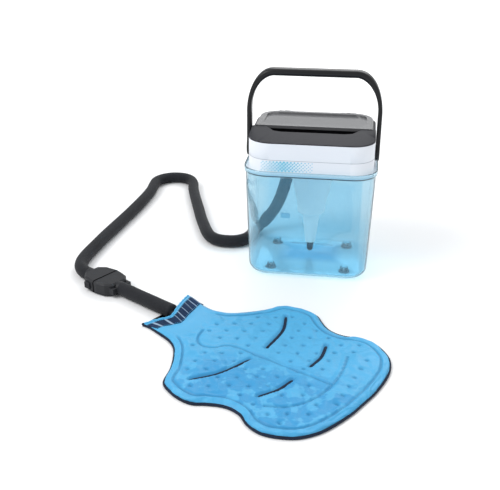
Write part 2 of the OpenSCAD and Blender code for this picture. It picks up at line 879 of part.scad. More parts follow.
// Pump outlet up through the column and back to the hose elbow
module delivery_tube() {
    r = tube_d / 2;
    foot = [tube_x, tube_y, floor_z - 8];
    rise = [tube_x, tube_y, port_z + lumen_rise];
    turn = [port_x, 60, port_z + lumen_rise];
    port = [port_x, lid_d / 2 - lid_wall - 3.2, port_z + lumen_rise];
    color("lightcyan") at_machine() {
        rod(foot, rise, r);
        translate(rise) sphere(r + bend_swell);
        rod(rise, turn, r);
        translate(turn) sphere(r + bend_swell);
        rod(turn, port, r);
    }
}

// Return from the elbow down through the lid into the tank
module return_tube() {
    r = tube_d / 2 - 0.5;
    port = [port_x, lid_d / 2 - lid_wall - 3.2, port_z - lumen_rise];
    turn = [port_x, return_y, port_z - lumen_rise];
    foot = [port_x, return_y, tray_z - 10];
    color("lightcyan") at_machine() {
        rod(port, turn, r);
        translate(turn) sphere(r + bend_swell);
        rod(turn, foot, tube_d / 2);
    }
}

// ---------------------------------------------------------------- controls

module circuit_board() {
    board_z = tray_z + tray_t + 5;
    board_w = 70;
    board_d = 28;
    board_y = 32.5 - lid_d / 2;
    color("darkgreen") at_machine() {
        translate([-board_w / 2, board_y - board_d / 2, board_z]) cube([board_w, board_d, 1.6]);
        for (x = [5 - board_w / 2, board_w / 2 - 5]) translate([x, board_y, tray_z + tray_t])
            cylinder(h = 5 + lap, r = 2.5);
        translate([-20, board_y - 8, board_z]) cube([14, 14, 9]);
        translate([8, board_y - 4, board_z]) cube([18, 8, 6]);
    }
}

module power_inlet() {
    wall_y = lid_d / 2;
    color("#222222") at_machine() difference() {
        union() {
            bar_y(inlet_x, mouth_back + mouth_wall + 0.5, wall_y + 0.8, control_z, 4.4);
            bar_y(inlet_x, wall_y, wall_y + 0.8, control_z, 6);
            bar_y(inlet_x, wall_y - lid_wall - 2.5, wall_y - lid_wall, control_z, 6.5);
        }
        bar_y(inlet_x, wall_y - 9.2, wall_y + 2, control_z, inlet_d / 2);
    }
}

module power_button() {
    wall_y = lid_d / 2;
    color("dimgray") at_machine() {
        bar_y(button_x, wall_y - lid_wall - button_flange, wall_y + button_travel + 0.5, control_z,
              button_d / 2);
        bar_y(button_x, wall_y - lid_wall - button_flange, wall_y - lid_wall - gap, control_z,
              button_d / 2 + 1.2);
    }
}

module button_switch() {
    wall_y = lid_d / 2;
    front = wall_y - lid_wall - button_flange - button_travel - gap;
    board_y = mouth_back + mouth_wall;
    color("darkgreen") at_machine() {
        translate([button_x - 10, board_y, control_z - 8]) cube([20, 1.6, 16]);
        translate([button_x - 3, board_y, control_z - 3]) cube([6, front - board_y, 6]);
    }
}

// ---------------------------------------------------------------- hose port

module hose_elbow() {
    wall_y = lid_d / 2;
    foot = port_z - elbow_drop;
    bore = 5.5;
    color("#333333") at_machine() difference() {
        union() {
            bar_y(port_x, wall_y - lid_wall - 3, wall_y + lap, port_z, elbow_r);
            bar_y(port_x, wall_y, port_y, port_z, elbow_r + 2);
            translate([port_x, port_y, port_z]) sphere(elbow_r + 2);
            translate([port_x, port_y, foot]) cylinder(h = elbow_drop, r = elbow_r + 1);
            translate([port_x, port_y, foot]) cylinder(h = 7, r = hose_d / 2);
        }
        translate([port_x, port_y, foot - 1]) cylinder(h = elbow_drop + 1, r = bore);
        bar_y(port_x, wall_y + 4, port_y, port_z, bore);
        for (s = [-1, 1]) bar_y(port_x, 0, wall_y + 5, port_z + s * lumen_rise, lumen_r);
    }
}

module elbow_nut() {
    wall_y = lid_d / 2 - lid_wall;
    color("gainsboro") at_machine() difference() {
        bar_y(port_x, wall_y - 2.8, wall_y, port_z, elbow_r + 3);
        bar_y(port_x, 0, wall_y + 1, port_z, elbow_r + fit);
    }
}

module main_hose() {
    color("#2f3236") at_machine() sweep_tube(HOSE, hose_d / 2, 10, [0, 1, 0]);
}

// ---------------------------------------------------------------- coupling

// Half of the coupling: its plan drawn from the split face outwards, with eased edges
module coupling_shell(length, shoulder) {
    half = coupling_w / 2;
    plan = [
        [0, -half], [8, -half], [shoulder, -half + 4], [length, -half + 15],
        [length, half - 15], [shoulder, half - 4], [8, half], [0, half]
    ];
    ease = 3;
    hull() {
        translate([0, 0, -coupling_h / 2 + ease]) linear_extrude(coupling_h - 2 * ease)
            polygon(plan);
        translate([0, 0, -coupling_h / 2]) linear_extrude(coupling_h)
            polygon([for (p = plan) [p[0] == 0 ? 0 : p[0] - ease, p[1] * (1 - ease / half)]]);
    }
}

// Room in the socket's side for one release button
module release_pocket(side) {
    half = coupling_w / 2;
    inner = half - release_t + release_stand - latch_travel - gap - 2;
    translate([-22 - gap, side > 0 ? inner : -half - 5, -release_h / 2 - gap])
        cube([release_l + 2 * gap, half + 5 - inner, release_h + 2 * gap]);
}

module coupling_socket() {
    color("#33363a") at_coupling() difference() {
        union() {
            translate([-split_gap, 0, 0]) mirror([1, 0, 0]) coupling_shell(socket_l, 28);
            bar_x(-socket_l - collar_l, -socket_l + 4, 0, 0, collar_r - 1.5);
        }
        for (s = [-1, 1]) {
            bar_x(-nozzle_l - 2, 1, s * port_pitch / 2, 0, nozzle_r + gap);
            bar_x(-socket_l - collar_l - 1, 0, s * port_pitch / 2, 0, lumen_r);
            release_pocket(s);
        }
    }
}

module release_button(side) {
    half = coupling_w / 2;
    inner = half + release_stand - release_t;
    color("#1d1f22") at_coupling()
        translate([-22, side > 0 ? inner : -inner - release_t, -release_h / 2])
            cube([release_l, release_t, release_h]);
}

module left_release() {
    release_button(1);
}

module right_release() {
    release_button(-1);
}

// Small coil springs, drawn as sleeves of their pressed length, behind the release buttons
module release_springs() {
    half = coupling_w / 2;
    pocket = half - release_t + release_stand - latch_travel - gap - 2;
    pressed = half + release_stand - release_t - latch_travel - gap;
    color("silver") at_coupling() for (s = [-1, 1]) difference() {
        bar_y(-22 + release_l / 2, min(s * pocket, s * pressed), max(s * pocket, s * pressed), 0,
              spring_r);
        bar_y(-22 + release_l / 2, -far / 2, far / 2, 0, spring_r - 0.8);
    }
}

module coupling_plug() {
    ear_x = plug_l - 6;
    color("#33363a") at_coupling() difference() {
        union() {
            coupling_shell(plug_l, 26);
            bar_x(plug_l - 4, plug_l + collar_l, 0, 0, collar_r - 1.5);
            for (s = [-1, 1]) translate([ear_x, s * 17 - 4, -6]) cube([12, 8, 12]);
        }
        for (s = [-1, 1]) {
            bar_x(-1, nozzle_root, s * port_pitch / 2, 0, nozzle_r + fit);
            bar_x(0, plug_l + collar_l + 1, s * port_pitch / 2, 0, lumen_r);
        }
    }
}

// Two water nozzles, seated in the plug, with a groove for each seal
module plug_nozzles() {
    color("#1d1f22") at_coupling() for (s = [-1, 1]) difference() {
        bar_x(-nozzle_l, nozzle_root, s * port_pitch / 2, 0, nozzle_r);
        bar_x(-nozzle_l - 1, nozzle_root + 1, s * port_pitch / 2, 0, lumen_r);
        translate([seal_x, s * port_pitch / 2, 0]) rotate([0, 90, 0]) rotate_extrude()
            translate([nozzle_r - 2 * seal_r + seal_stand, -seal_r - fit])
                square([2, 2 * (seal_r + fit)]);
    }
}

module plug_seals() {
    color("black") at_coupling() for (s = [-1, 1])
        translate([seal_x, s * port_pitch / 2, 0]) rotate([0, 90, 0]) rotate_extrude()
            translate([nozzle_r - seal_r + seal_stand, 0]) circle(seal_r, $fn = 24);
}

module pad_hose() {
    start = coupling_s + plug_l + collar_l;
    color("#2f3236") at_wrap()
        sweep_tube([[start, 0, coupling_z], [(start + hose_in) / 2, 0, coupling_z],
                    [hose_in, 0, coupling_z]], hose_d / 2, 12, [0, 0, 1]);
}

// ---------------------------------------------------------------- wrap pad

// Point on a smooth curve through four neighbours
function spline(a, b, c, d, t) =
    0.5 * ((2 * b) + (c - a) * t + (2 * a - 5 * b + 4 * c - d) * t * t
           + (3 * b - a - 3 * c + d) * t * t * t);

function half_edge(curve, steps) = [
    for (i = [0:len(curve) - 2], k = [0:steps - 1])
        spline(curve[max(i - 1, 0)], curve[i], curve[i + 1],
               curve[min(i + 2, len(curve) - 1)], k / steps)
];

module pad_plan() {
    edge = [for (p = concat(half_edge(PAD_CURVE, 3), [PAD_CURVE[len(PAD_CURVE) - 1]]))
        [p[0] * pad_l, p[1] * pad_half]];
    other = [for (i = [len(edge) - 1:-1:0]) [edge[i][0], -edge[i][1]]];
    polygon(concat(edge, other));
}

// Point at share t of the curve that passes through a slot's three points
function bow(s, t) = (2 * t - 1) * (t - 1) * s[0] + 4 * t * (1 - t) * s[1]
                     + t * (2 * t - 1) * s[2];

// One long edge of a slot, side is 1 or -1
function slot_edge(s, half, side) = [
    for (t = [0:0.125:1])
        let (v = unit(bow(s, t + 0.01) - bow(s, t - 0.01))) bow(s, t) + side * half * [-v[1], v[0]]
];

module slot_plan(grow) {
    half = slot_w / 2 + grow;
    for (s = SLOTS) {
        left = slot_edge(s, half, 1);
        right = slot_edge(s, half, -1);
        polygon(concat(left, [for (i = [len(right) - 1:-1:0]) right[i]]));
    }
}

// Room for the end of the pad's hose in the neck
module hose_pocket() {
    bar_x(-1, hose_in + gap, 0, coupling_z, hose_d / 2 + gap);
}

module pad_backing() {
    color("midnightblue") at_wrap() difference() {
        linear_extrude(backing_t) pad_plan();
        hose_pocket();
    }
}

module pad_bladder() {
    color("deepskyblue") at_wrap() translate([0, 0, backing_t])
        linear_extrude(bladder_t) difference() {
            intersection() {
                offset(delta = -pad_border) pad_plan();
                translate([sleeve_l + gap, -far]) square([far * 2, far * 2]);
            }
            slot_plan(0);
        }
}

module slot_tapes() {
    color("midnightblue") at_wrap() translate([0, 0, backing_t])
        linear_extrude(tape_t) intersection() {
            slot_plan(-gap);
            translate([sleeve_l + gap, -far]) square([far * 2, far * 2]);
        }
}

// Tent of cloth that opens round the pad's hose, grown outwards by grow
module sleeve_form(grow) {
    mouth = pad_half * 0.37 + grow;
    end_half = pad_half * 0.36 + grow;
    crown = sleeve_h - backing_t + grow;
    crown_half = hose_d * 0.8;
    hull() {
        translate([0, 0, backing_t]) rotate([90, 0, 90]) linear_extrude(2)
            polygon([[-mouth, 0], [mouth, 0], [mouth, bladder_t], [crown_half, crown],
                     [-crown_half, crown], [-mouth, bladder_t]]);
        translate([sleeve_l - 2, -end_half, backing_t]) cube([2, 2 * end_half, bladder_t + grow]);
    }
}

module neck_sleeve() {
    color("deepskyblue") at_wrap() difference() {
        sleeve_form(0);
        hose_pocket();
    }
}

// Elastic strap over the sleeve
module neck_band() {
    band_w = 22;
    band_s = 22;
    band_t = 1.2;
    color("midnightblue") at_wrap() difference() {
        intersection() {
            sleeve_form(band_t);
            translate([band_s, -far / 2, 0]) cube([band_w, far, far]);
        }
        sleeve_form(0);
    }
}

tank();
tank_feet();
foot_screws();
lid_gasket();
lid_base();
mouth_chute();
lid_housing();
top_deck();
lid_screws();
hatch();
hatch_seal();
hatch_pins();
handle();
pivot_bosses();
pivot_screws();
pump_column();
pump_volute();
pump_motor();
motor_plate();
motor_shaft();
impeller();
shaft_seal();
intake_tube();
intake_strainer();
delivery_tube();
return_tube();
circuit_board();
power_inlet();
power_button();
button_switch();
hose_elbow();
elbow_nut();
main_hose();
coupling_socket();
left_release();
right_release();
release_springs();
coupling_plug();
plug_nozzles();
plug_seals();
pad_hose();
pad_backing();
pad_bladder();
neck_sleeve();
neck_band();
slot_tapes();
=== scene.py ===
"""Looks of a portable cold therapy machine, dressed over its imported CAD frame.

Each sub-assembly states its sizes in millimetres, about the machine's middle or
along the wrap pad, and the placing helpers put them into the part's frame.
"""

import logging
import math
import random
from dataclasses import dataclass, field
from enum import Enum
from typing import Callable, Optional, Sequence

import bmesh
import bpy
import numpy as np
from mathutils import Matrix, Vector


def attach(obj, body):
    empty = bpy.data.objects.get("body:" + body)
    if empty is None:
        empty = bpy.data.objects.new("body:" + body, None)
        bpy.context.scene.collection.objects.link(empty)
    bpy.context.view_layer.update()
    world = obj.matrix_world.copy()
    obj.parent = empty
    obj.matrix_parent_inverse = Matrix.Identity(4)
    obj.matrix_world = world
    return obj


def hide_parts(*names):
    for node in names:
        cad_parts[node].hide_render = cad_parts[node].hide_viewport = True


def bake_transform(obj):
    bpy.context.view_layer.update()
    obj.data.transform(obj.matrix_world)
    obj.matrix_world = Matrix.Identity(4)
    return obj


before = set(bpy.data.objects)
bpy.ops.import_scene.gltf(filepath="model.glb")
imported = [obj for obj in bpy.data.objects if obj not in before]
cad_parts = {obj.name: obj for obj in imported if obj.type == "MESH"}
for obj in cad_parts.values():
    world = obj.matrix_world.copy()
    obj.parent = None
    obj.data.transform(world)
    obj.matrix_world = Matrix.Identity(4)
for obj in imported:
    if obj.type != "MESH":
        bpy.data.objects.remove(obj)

MM = 0.001
MACHINE_MIDDLE = Vector((54.0, 213.0, 0.0))
WRAP_START = Vector((-176.0, -47.0, 0.0))
WRAP_TURN = math.radians(-31.0)
WRAP_COS, WRAP_SIN = math.cos(WRAP_TURN), math.sin(WRAP_TURN)
CORNERS = ((1, 1), (-1, 1), (-1, -1), (1, -1))
CORNER_STEPS = 14
CURVE_STEPS = 12
MOULDED_TURN, SOFT_TURN = 50.0, 60.0
log = logging.getLogger("cold_therapy")

Point = Sequence[float]
Loop = list[Vector]
Socket = bpy.types.NodeSocket


# ------------------------------------------------------------------ placing


def cad(name: str) -> bpy.types.Object:
    """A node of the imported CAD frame."""
    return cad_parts[name]


def on_machine(x: float, y: float, z: float) -> Vector:
    """A place about the machine's middle, in the part's frame, in millimetres."""
    return MACHINE_MIDDLE + Vector((x, y, z))


def on_wrap(s: float, n: float, z: float) -> Vector:
    """A place along and across the wrap pad, in the part's frame, in millimetres."""
    return WRAP_START + Vector((s * WRAP_COS - n * WRAP_SIN, s * WRAP_SIN + n * WRAP_COS, z))


def metres(points: Sequence[Vector]) -> list[tuple]:
    """Points in millimetres as tuples in metres."""
    return [tuple(p * MM) for p in points]


def smoothstep(low: float, high: float, value: float) -> float:
    """A soft ramp from 0 at low to 1 at high."""
    t = min(1.0, max(0.0, (value - low) / (high - low)))
    return t * t * (3.0 - 2.0 * t)


def through(points: Sequence[Point], count: int) -> list[Vector]:
    """Even points on a smooth curve that passes through the given ones.

    Args:
        points: the curve's own points, two or three numbers each.
        count: how many points come back.

    Returns:
        The points, spaced evenly along the curve.
    """
    given = [Vector((*p, 0.0)) if len(p) == 2 else Vector(p) for p in points]
    dense: list[Vector] = []
    for i in range(len(given) - 1):
        a, b = given[max(i - 1, 0)], given[i]
        c, d = given[i + 1], given[min(i + 2, len(given) - 1)]
        for k in range(CURVE_STEPS):
            t = k / CURVE_STEPS
            dense.append(0.5 * (2 * b + (c - a) * t + (2 * a - 5 * b + 4 * c - d) * t * t
                                + (3 * b - a - 3 * c + d) * t ** 3))
    dense.append(given[-1])
    runs = np.cumsum([0.0] + [(b - a).length for a, b in zip(dense, dense[1:])])
    table = np.array([tuple(p) for p in dense])
    return [Vector(tuple(np.interp(w, runs, table[:, k]) for k in range(3)))
            for w in np.linspace(0.0, runs[-1], count)]


def line_length(points: Sequence[Vector]) -> float:
    """The length of a line of points."""
    return sum((b - a).length for a, b in zip(points, points[1:]))


# ------------------------------------------------------------------ meshes


def add_object(name: str, data: bpy.types.ID) -> bpy.types.Object:
    """A new object in the scene, at the origin."""
    thing = bpy.data.objects.new(name, data)
    bpy.context.scene.collection.objects.link(thing)
    return thing


def make_piece(name: str, points: Sequence[Vector], faces: Sequence[Sequence[int]],
               sharp_deg: float = 38.0) -> bpy.types.Object:
    """A closed mesh piece with merged corners and outward faces.

    Args:
        name: the piece's name.
        points: corners in the part's frame, in millimetres.
        faces: corner numbers of each face.
        sharp_deg: edges that turn by more than this stay sharp.

    Returns:
        The new object, at the origin.
    """
    mesh = bpy.data.meshes.new(name)
    mesh.from_pydata(metres(points), [], [tuple(f) for f in faces])
    work = bmesh.new()
    work.from_mesh(mesh)
    bmesh.ops.remove_doubles(work, verts=work.verts, dist=1e-6)
    bmesh.ops.recalc_face_normals(work, faces=work.faces)
    work.to_mesh(mesh)
    work.free()
    mesh.shade_smooth()
    mesh.set_sharp_from_angle(angle=math.radians(sharp_deg))
    return add_object(name, mesh)


def rounded_plan(width: float, depth: float, radius: float, steps: int) -> list[tuple[float, float]]:
    """A rounded rectangle about zero, with the same number of points for every size.

    Args:
        width: its size along the first direction.
        depth: its size along the second.
        radius: radius of its corners.
        steps: steps round each corner.

    Returns:
        The points, anticlockwise.
    """
    plan = []
    for corner, (sx, sy) in enumerate(CORNERS):
        for k in range(steps + 1):
            a = math.radians(90.0 * (corner + k / steps))
            plan.append((sx * (width / 2 - radius) + radius * math.cos(a),
                         sy * (depth / 2 - radius) + radius * math.sin(a)))
    return plan


def rounded_loop(width: float, depth: float, radius: float, z: float, middle_y: float = 0.0) -> Loop:
    """A level rounded rectangle about the machine's middle."""
    return [on_machine(x, middle_y + y, z) for x, y in rounded_plan(width, depth, radius, CORNER_STEPS)]


def loft(name: str, loops: Sequence[Loop], sharp_deg: float) -> bpy.types.Object:
    """A skin over loops of equal length, closed at both ends.

    Args:
        name: the piece's name.
        loops: the loops in order.
        sharp_deg: edges that turn by more than this stay sharp.

    Returns:
        The new object.
    """
    count, last = len(loops[0]), (len(loops) - 1) * len(loops[0])
    faces: list[list[int]] = []
    for start in range(0, last, count):
        for k in range(count):
            j = (k + 1) % count
            faces.append([start + k, start + j, start + count + j, start + count + k])
    faces += [list(range(count))[::-1], [last + k for k in range(count)]]
    return make_piece(name, [p for loop in loops for p in loop], faces, sharp_deg)


def tube(name: str, line: Sequence[Vector], radius: Callable[[int, float, Vector], float],
         sides: int = 24, first: Vector = Vector((0.0, 0.0, 1.0))) -> bpy.types.Object:
    """A closed tube along a line.

    Args:
        name: the piece's name.
        line: its middle line, in millimetres.
        radius: gives the radius from the ring's number, the angle and the outward direction.
        sides: sides round the tube.
        first: a direction across the line's start.

    Returns:
        The new object.
    """
    rings: list[Loop] = []
    normal = first
    for i, p in enumerate(line):
        along = (line[min(i + 1, len(line) - 1)] - line[max(i - 1, 0)]).normalized()
        normal = (normal - along * normal.dot(along)).normalized()
        other = along.cross(normal)
        ring: Loop = []
        for k in range(sides):
            a = 2.0 * math.pi * k / sides
            out = normal * math.cos(a) + other * math.sin(a)
            ring.append(p + out * radius(i, a, out))
        rings.append(ring)
    return loft(name, rings, SOFT_TURN)


def sheet_faces(rows: int, columns: int) -> list[list[int]]:
    """Faces of a closed sheet: an upper grid, a lower grid and the wall between them.

    Args:
        rows: rows of cells.
        columns: columns of cells.

    Returns:
        Corner numbers of each face.
    """
    width = columns + 1
    count = (rows + 1) * width
    faces: list[list[int]] = []
    for i in range(rows):
        for j in range(columns):
            a = i * width + j
            faces.append([a, a + width, a + width + 1, a + 1])
            faces.append([count + a, count + a + 1, count + a + width + 1, count + a + width])
    ring = [j for j in range(width)] + [i * width + columns for i in range(1, rows + 1)]
    ring += [rows * width + j for j in range(columns - 1, -1, -1)]
    ring += [i * width for i in range(rows - 1, 0, -1)]
    for a, b in zip(ring, ring[1:] + ring[:1]):
        faces.append([a, b, count + b, count + a])
    return faces


def evaluated_mesh(piece: bpy.types.Object) -> bpy.types.Mesh:
    """A plain mesh of the piece with its modifiers."""
    graph = bpy.context.evaluated_depsgraph_get()
    return bpy.data.meshes.new_from_object(piece.evaluated_get(graph))


def soften(piece: bpy.types.Object, width: float, segments: int = 2) -> None:
    """Rounds a hard piece's outer edges with live modifiers.

    Args:
        piece: a CAD node.
        width: width of the rounding in millimetres.
        segments: parts in the rounding.
    """
    weld = piece.modifiers.new("join corners", "WELD")
    weld.merge_threshold = 1e-5
    bevel = piece.modifiers.new("round edges", "BEVEL")
    bevel.width = width * MM
    bevel.segments = segments
    bevel.limit_method = "ANGLE"
    bevel.angle_limit = math.radians(34.0)
    bevel.harden_normals = True
    bevel.use_clamp_overlap = True


# ------------------------------------------------------------------ node trees


class Tree:
    """A node tree under construction."""

    def __init__(self, tree: bpy.types.NodeTree) -> None:
        """Takes the tree in hand."""
        self.tree = tree

    def feed(self, socket: Socket, value: object) -> None:
        """Links an input to a socket, or gives it a plain value.

        Args:
            socket: the input.
            value: a socket or a plain value. None leaves the input as it is.
        """
        if isinstance(value, Socket):
            self.tree.links.new(value, socket)
        elif value is not None:
            socket.default_value = value

    def add(self, kind: str, inputs: Optional[dict] = None, **settings: object) -> bpy.types.Node:
        """Adds a node.

        Args:
            kind: the node's type.
            inputs: sockets or plain values for its inputs, by name or number.
            settings: the node's own settings, made before its inputs.

        Returns:
            The node.
        """
        node = self.tree.nodes.new(kind)
        for label, value in settings.items():
            setattr(node, label, value)
        for label, value in (inputs or {}).items():
            self.feed(node.inputs[label], value)
        return node

    def math(self, operation: str, *terms: object) -> Socket:
        """One step of arithmetic on sockets and plain values."""
        return self.add("ShaderNodeMath", dict(enumerate(terms)), operation=operation).outputs[0]

    def spread(self, source: Socket, low: float, high: float, start: object = 0.3,
               end: object = 0.7) -> Socket:
        """Maps a changing value from the range start to end onto the range low to high."""
        return self.add("ShaderNodeMapRange", {"Value": source, "From Min": start, "From Max": end,
                                               "To Min": low, "To Max": high}).outputs["Result"]


class Group(Tree):
    """A node group with named inputs and outputs."""

    def __init__(self, name: str, kind: str, inputs: Sequence[tuple[str, str, object]],
                 outputs: Sequence[tuple[str, str]]) -> None:
        """Starts the group.

        Args:
            name: the group's name.
            kind: the type of its tree.
            inputs: name, type and default of each input.
            outputs: name and type of each output.
        """
        super().__init__(bpy.data.node_groups.new(name, kind))
        self.keys: dict[str, str] = {}
        for label, form, default in inputs:
            socket = self.tree.interface.new_socket(name=label, in_out="INPUT",
                                                    socket_type="NodeSocket" + form)
            if default is not None:
                socket.default_value = default
            self.keys[label] = socket.identifier
        for label, form in outputs:
            self.tree.interface.new_socket(name=label, in_out="OUTPUT",
                                           socket_type="NodeSocket" + form)
        self.into = self.tree.nodes.new("NodeGroupInput")
        self.out = self.tree.nodes.new("NodeGroupOutput")

    def arg(self, label: str) -> Socket:
        """The group's input of that name."""
        return self.into.outputs[label]

    def give(self, **results: Socket) -> None:
        """Sets the group's outputs by name."""
        for label, source in results.items():
            self.feed(self.out.inputs[label], source)


def shader_group(name: str, inputs: Sequence[tuple[str, str, object]],
                 outputs: Sequence[str]) -> Group:
    """A shader group that reads coordinates and gives plain values."""
    return Group(name, "ShaderNodeTree", [("Vector", "Vector", None), *inputs],
                 [(label, "Float") for label in outputs])


def grain_group() -> bpy.types.NodeTree:
    """Fine moulded grain over a slow drift of tone."""
    group = shader_group("moulded grain", [("Grain", "Float", 900.0), ("Drift", "Float", 9.0)],
                         ["Height", "Tone"])
    noises = [group.add("ShaderNodeTexNoise", {"Vector": group.arg("Vector"), "Scale": group.arg(scale),
                                               "Detail": detail}).outputs["Fac"]
              for scale, detail in (("Grain", 3.0), ("Drift", 2.0))]
    group.give(Height=noises[0], Tone=noises[1])
    return group.tree


def weave_group() -> bpy.types.NodeTree:
    """Crossing threads along the two directions of a UV map or of a plane."""
    group = shader_group("plain weave", [("Threads", "Float", 1400.0)], ["Height", "Mask"])
    waves = [group.add("ShaderNodeTexWave", {"Vector": group.arg("Vector"), "Distortion": 0.6,
                                             "Scale": group.arg("Threads")},
                       bands_direction=axis).outputs["Fac"] for axis in "XY"]
    group.give(Height=group.math("MAXIMUM", *waves), Mask=group.math("MULTIPLY", *waves))
    return group.tree


def scuff_group() -> bpy.types.NodeTree:
    """Sparse handling marks: long faint rubs that show in the gloss."""
    group = shader_group("handling marks", [("Amount", "Float", 0.3)], ["Mask"])
    stretch = group.add("ShaderNodeMapping", {"Vector": group.arg("Vector"), "Scale": (14.0, 90.0, 40.0)})
    noise = group.add("ShaderNodeTexNoise", {"Vector": stretch.outputs[0], "Scale": 3.0, "Detail": 5.0})
    marks = group.spread(noise.outputs["Fac"], 0.0, 1.0, 0.56, 0.78)
    group.give(Mask=group.math("MULTIPLY", marks, group.arg("Amount")))
    return group.tree


def block_group() -> bpy.types.NodeTree:
    """A mask that is 1 inside a block given by two corners."""
    group = shader_group("inside a block", [("Low", "Vector", (0.0, 0.0, 0.0)),
                                            ("High", "Vector", (1.0, 1.0, 1.0)),
                                            ("Soft", "Float", 0.0003)], ["Mask"])
    sides = [group.add("ShaderNodeVectorMath", {0: group.arg(a), 1: group.arg(b)},
                       operation="SUBTRACT").outputs[0] for a, b in (("Vector", "Low"), ("High", "Vector"))]
    least = group.add("ShaderNodeVectorMath", dict(enumerate(sides)), operation="MINIMUM").outputs[0]
    x, y, z = group.add("ShaderNodeSeparateXYZ", {0: least}).outputs
    smallest = group.math("MINIMUM", group.math("MINIMUM", x, y), z)
    group.give(Mask=group.spread(smallest, 0.0, 1.0, 0.0, group.arg("Soft")))
    return group.tree


GRAIN, WEAVE, SCUFF, BLOCK = grain_group(), weave_group(), scuff_group(), block_group()


# ------------------------------------------------------------------ finishes


def scaled(colour: Point, factor: float) -> tuple:
    """A colour made deeper or paler."""
    return tuple(min(1.0, c * factor) for c in colour)


class Surface(Enum):
    """Where a finish reads its pattern from."""

    OBJECT = "Object"
    UV = "UV"


@dataclass(frozen=True)
class Shade:
    """A block about the machine's middle, in millimetres, whose surfaces take another colour."""

    low: Point
    high: Point
    colour: Point
    soft_mm: float = 0.3


class Bench(Tree):
    """A material being put together, with the steps that finishes share."""

    def __init__(self, name: str, colour: Point, roughness: float = 0.5) -> None:
        """Starts a material with one Principled shader.

        Args:
            name: the material's name.
            colour: base colour, linear red, green and blue.
            roughness: roughness of the surface.
        """
        self.material = bpy.data.materials.new(name)
        self.material.use_nodes = True
        self.material.diffuse_color = (*colour, 1.0)
        super().__init__(self.material.node_tree)
        self.shader = self.tree.nodes["Principled BSDF"]
        self.places = self.tree.nodes.new("ShaderNodeTexCoord")
        self.set(Base_Color=(*colour, 1.0), Roughness=roughness)

    def place(self, surface: Surface = Surface.OBJECT) -> Socket:
        """The surface's coordinates."""
        return self.places.outputs[surface.value]

    def set(self, **values: object) -> None:
        """Sets or links the shader's own sockets, by names with _ for spaces."""
        for label, value in values.items():
            self.feed(self.shader.inputs[label.replace("_", " ")], value)

    def group(self, tree: bpy.types.NodeTree, surface: Surface = Surface.OBJECT, **values: object) -> dict:
        """Places a shared group and feeds it the surface's coordinates.

        Args:
            tree: the group.
            surface: which coordinates it reads.
            values: the group's inputs by name.

        Returns:
            The group's outputs by name.
        """
        return self.add("ShaderNodeGroup", {"Vector": self.place(surface), **values},
                        node_tree=tree).outputs

    def mix(self, mask: Socket, under: object, top: object) -> Socket:
        """Lays one colour over another where a changing mask is 1; each is plain or a socket."""
        under, top = (c if isinstance(c, Socket) else (*c, 1.0) for c in (under, top))
        return self.add("ShaderNodeMix", {"Factor": mask, "A": under, "B": top},
                        data_type="RGBA").outputs["Result"]

    def drift(self, grain: dict, deep: Point, pale: Point) -> Socket:
        """A tone that wanders between two colours with the slow part of the grain."""
        return self.mix(self.spread(grain["Tone"], 0.0, 1.0), deep, pale)

    def shade(self, tone: Socket, shades: Sequence[Shade]) -> Socket:
        """Lays each shade's colour over the part of the surface inside its block.

        Args:
            tone: the colour so far.
            shades: the blocks with their colours.

        Returns:
            The colour with the shades.
        """
        for shade in shades:
            block = self.group(BLOCK, Low=on_machine(*shade.low) * MM,
                               High=on_machine(*shade.high) * MM, Soft=shade.soft_mm * MM)
            tone = self.mix(block["Mask"], tone, shade.colour)
        return tone

    def bump(self, height: Socket, depth_mm: float, strength: float = 1.0) -> None:
        """Gives the surface relief, over what it has.

        Args:
            height: relief from 0 to 1.
            depth_mm: how deep a height of 1 is.
            strength: strength of the effect.
        """
        links = self.shader.inputs["Normal"].links
        node = self.add("ShaderNodeBump", {"Distance": depth_mm * MM, "Strength": strength, "Height": height,
                                           "Normal": links[0].from_socket if links else None})
        self.set(Normal=node.outputs["Normal"])


@dataclass(frozen=True)
class MouldedPlastic:
    """Injection moulded plastic with a fine grain, a drift of tone and handling marks."""

    name: str
    slot: str
    colour: Point
    roughness: float = 0.4
    drift: float = 0.08
    grain: float = 900.0
    depth_mm: float = 0.02
    marks: float = 0.12
    ior: float = 1.5
    specular: float = 0.5
    shades: tuple[Shade, ...] = ()

    def build(self) -> bpy.types.Material:
        """Makes the material."""
        bench = Bench(self.name, self.colour)
        grain = bench.group(GRAIN, Grain=self.grain, Drift=7.0)
        marks = bench.group(SCUFF, Amount=self.marks)
        deep, pale = (scaled(self.colour, 1.0 + side * self.drift) for side in (-1, 1))
        tone = bench.drift(grain, deep, pale)
        rough = bench.spread(grain["Height"], self.roughness - 0.04, self.roughness + 0.04)
        bench.set(Base_Color=bench.shade(tone, self.shades),
                  Roughness=bench.math("ADD", rough, marks["Mask"]),
                  IOR=self.ior, Specular_IOR_Level=self.specular)
        bench.bump(grain["Height"], self.depth_mm)
        return bench.material


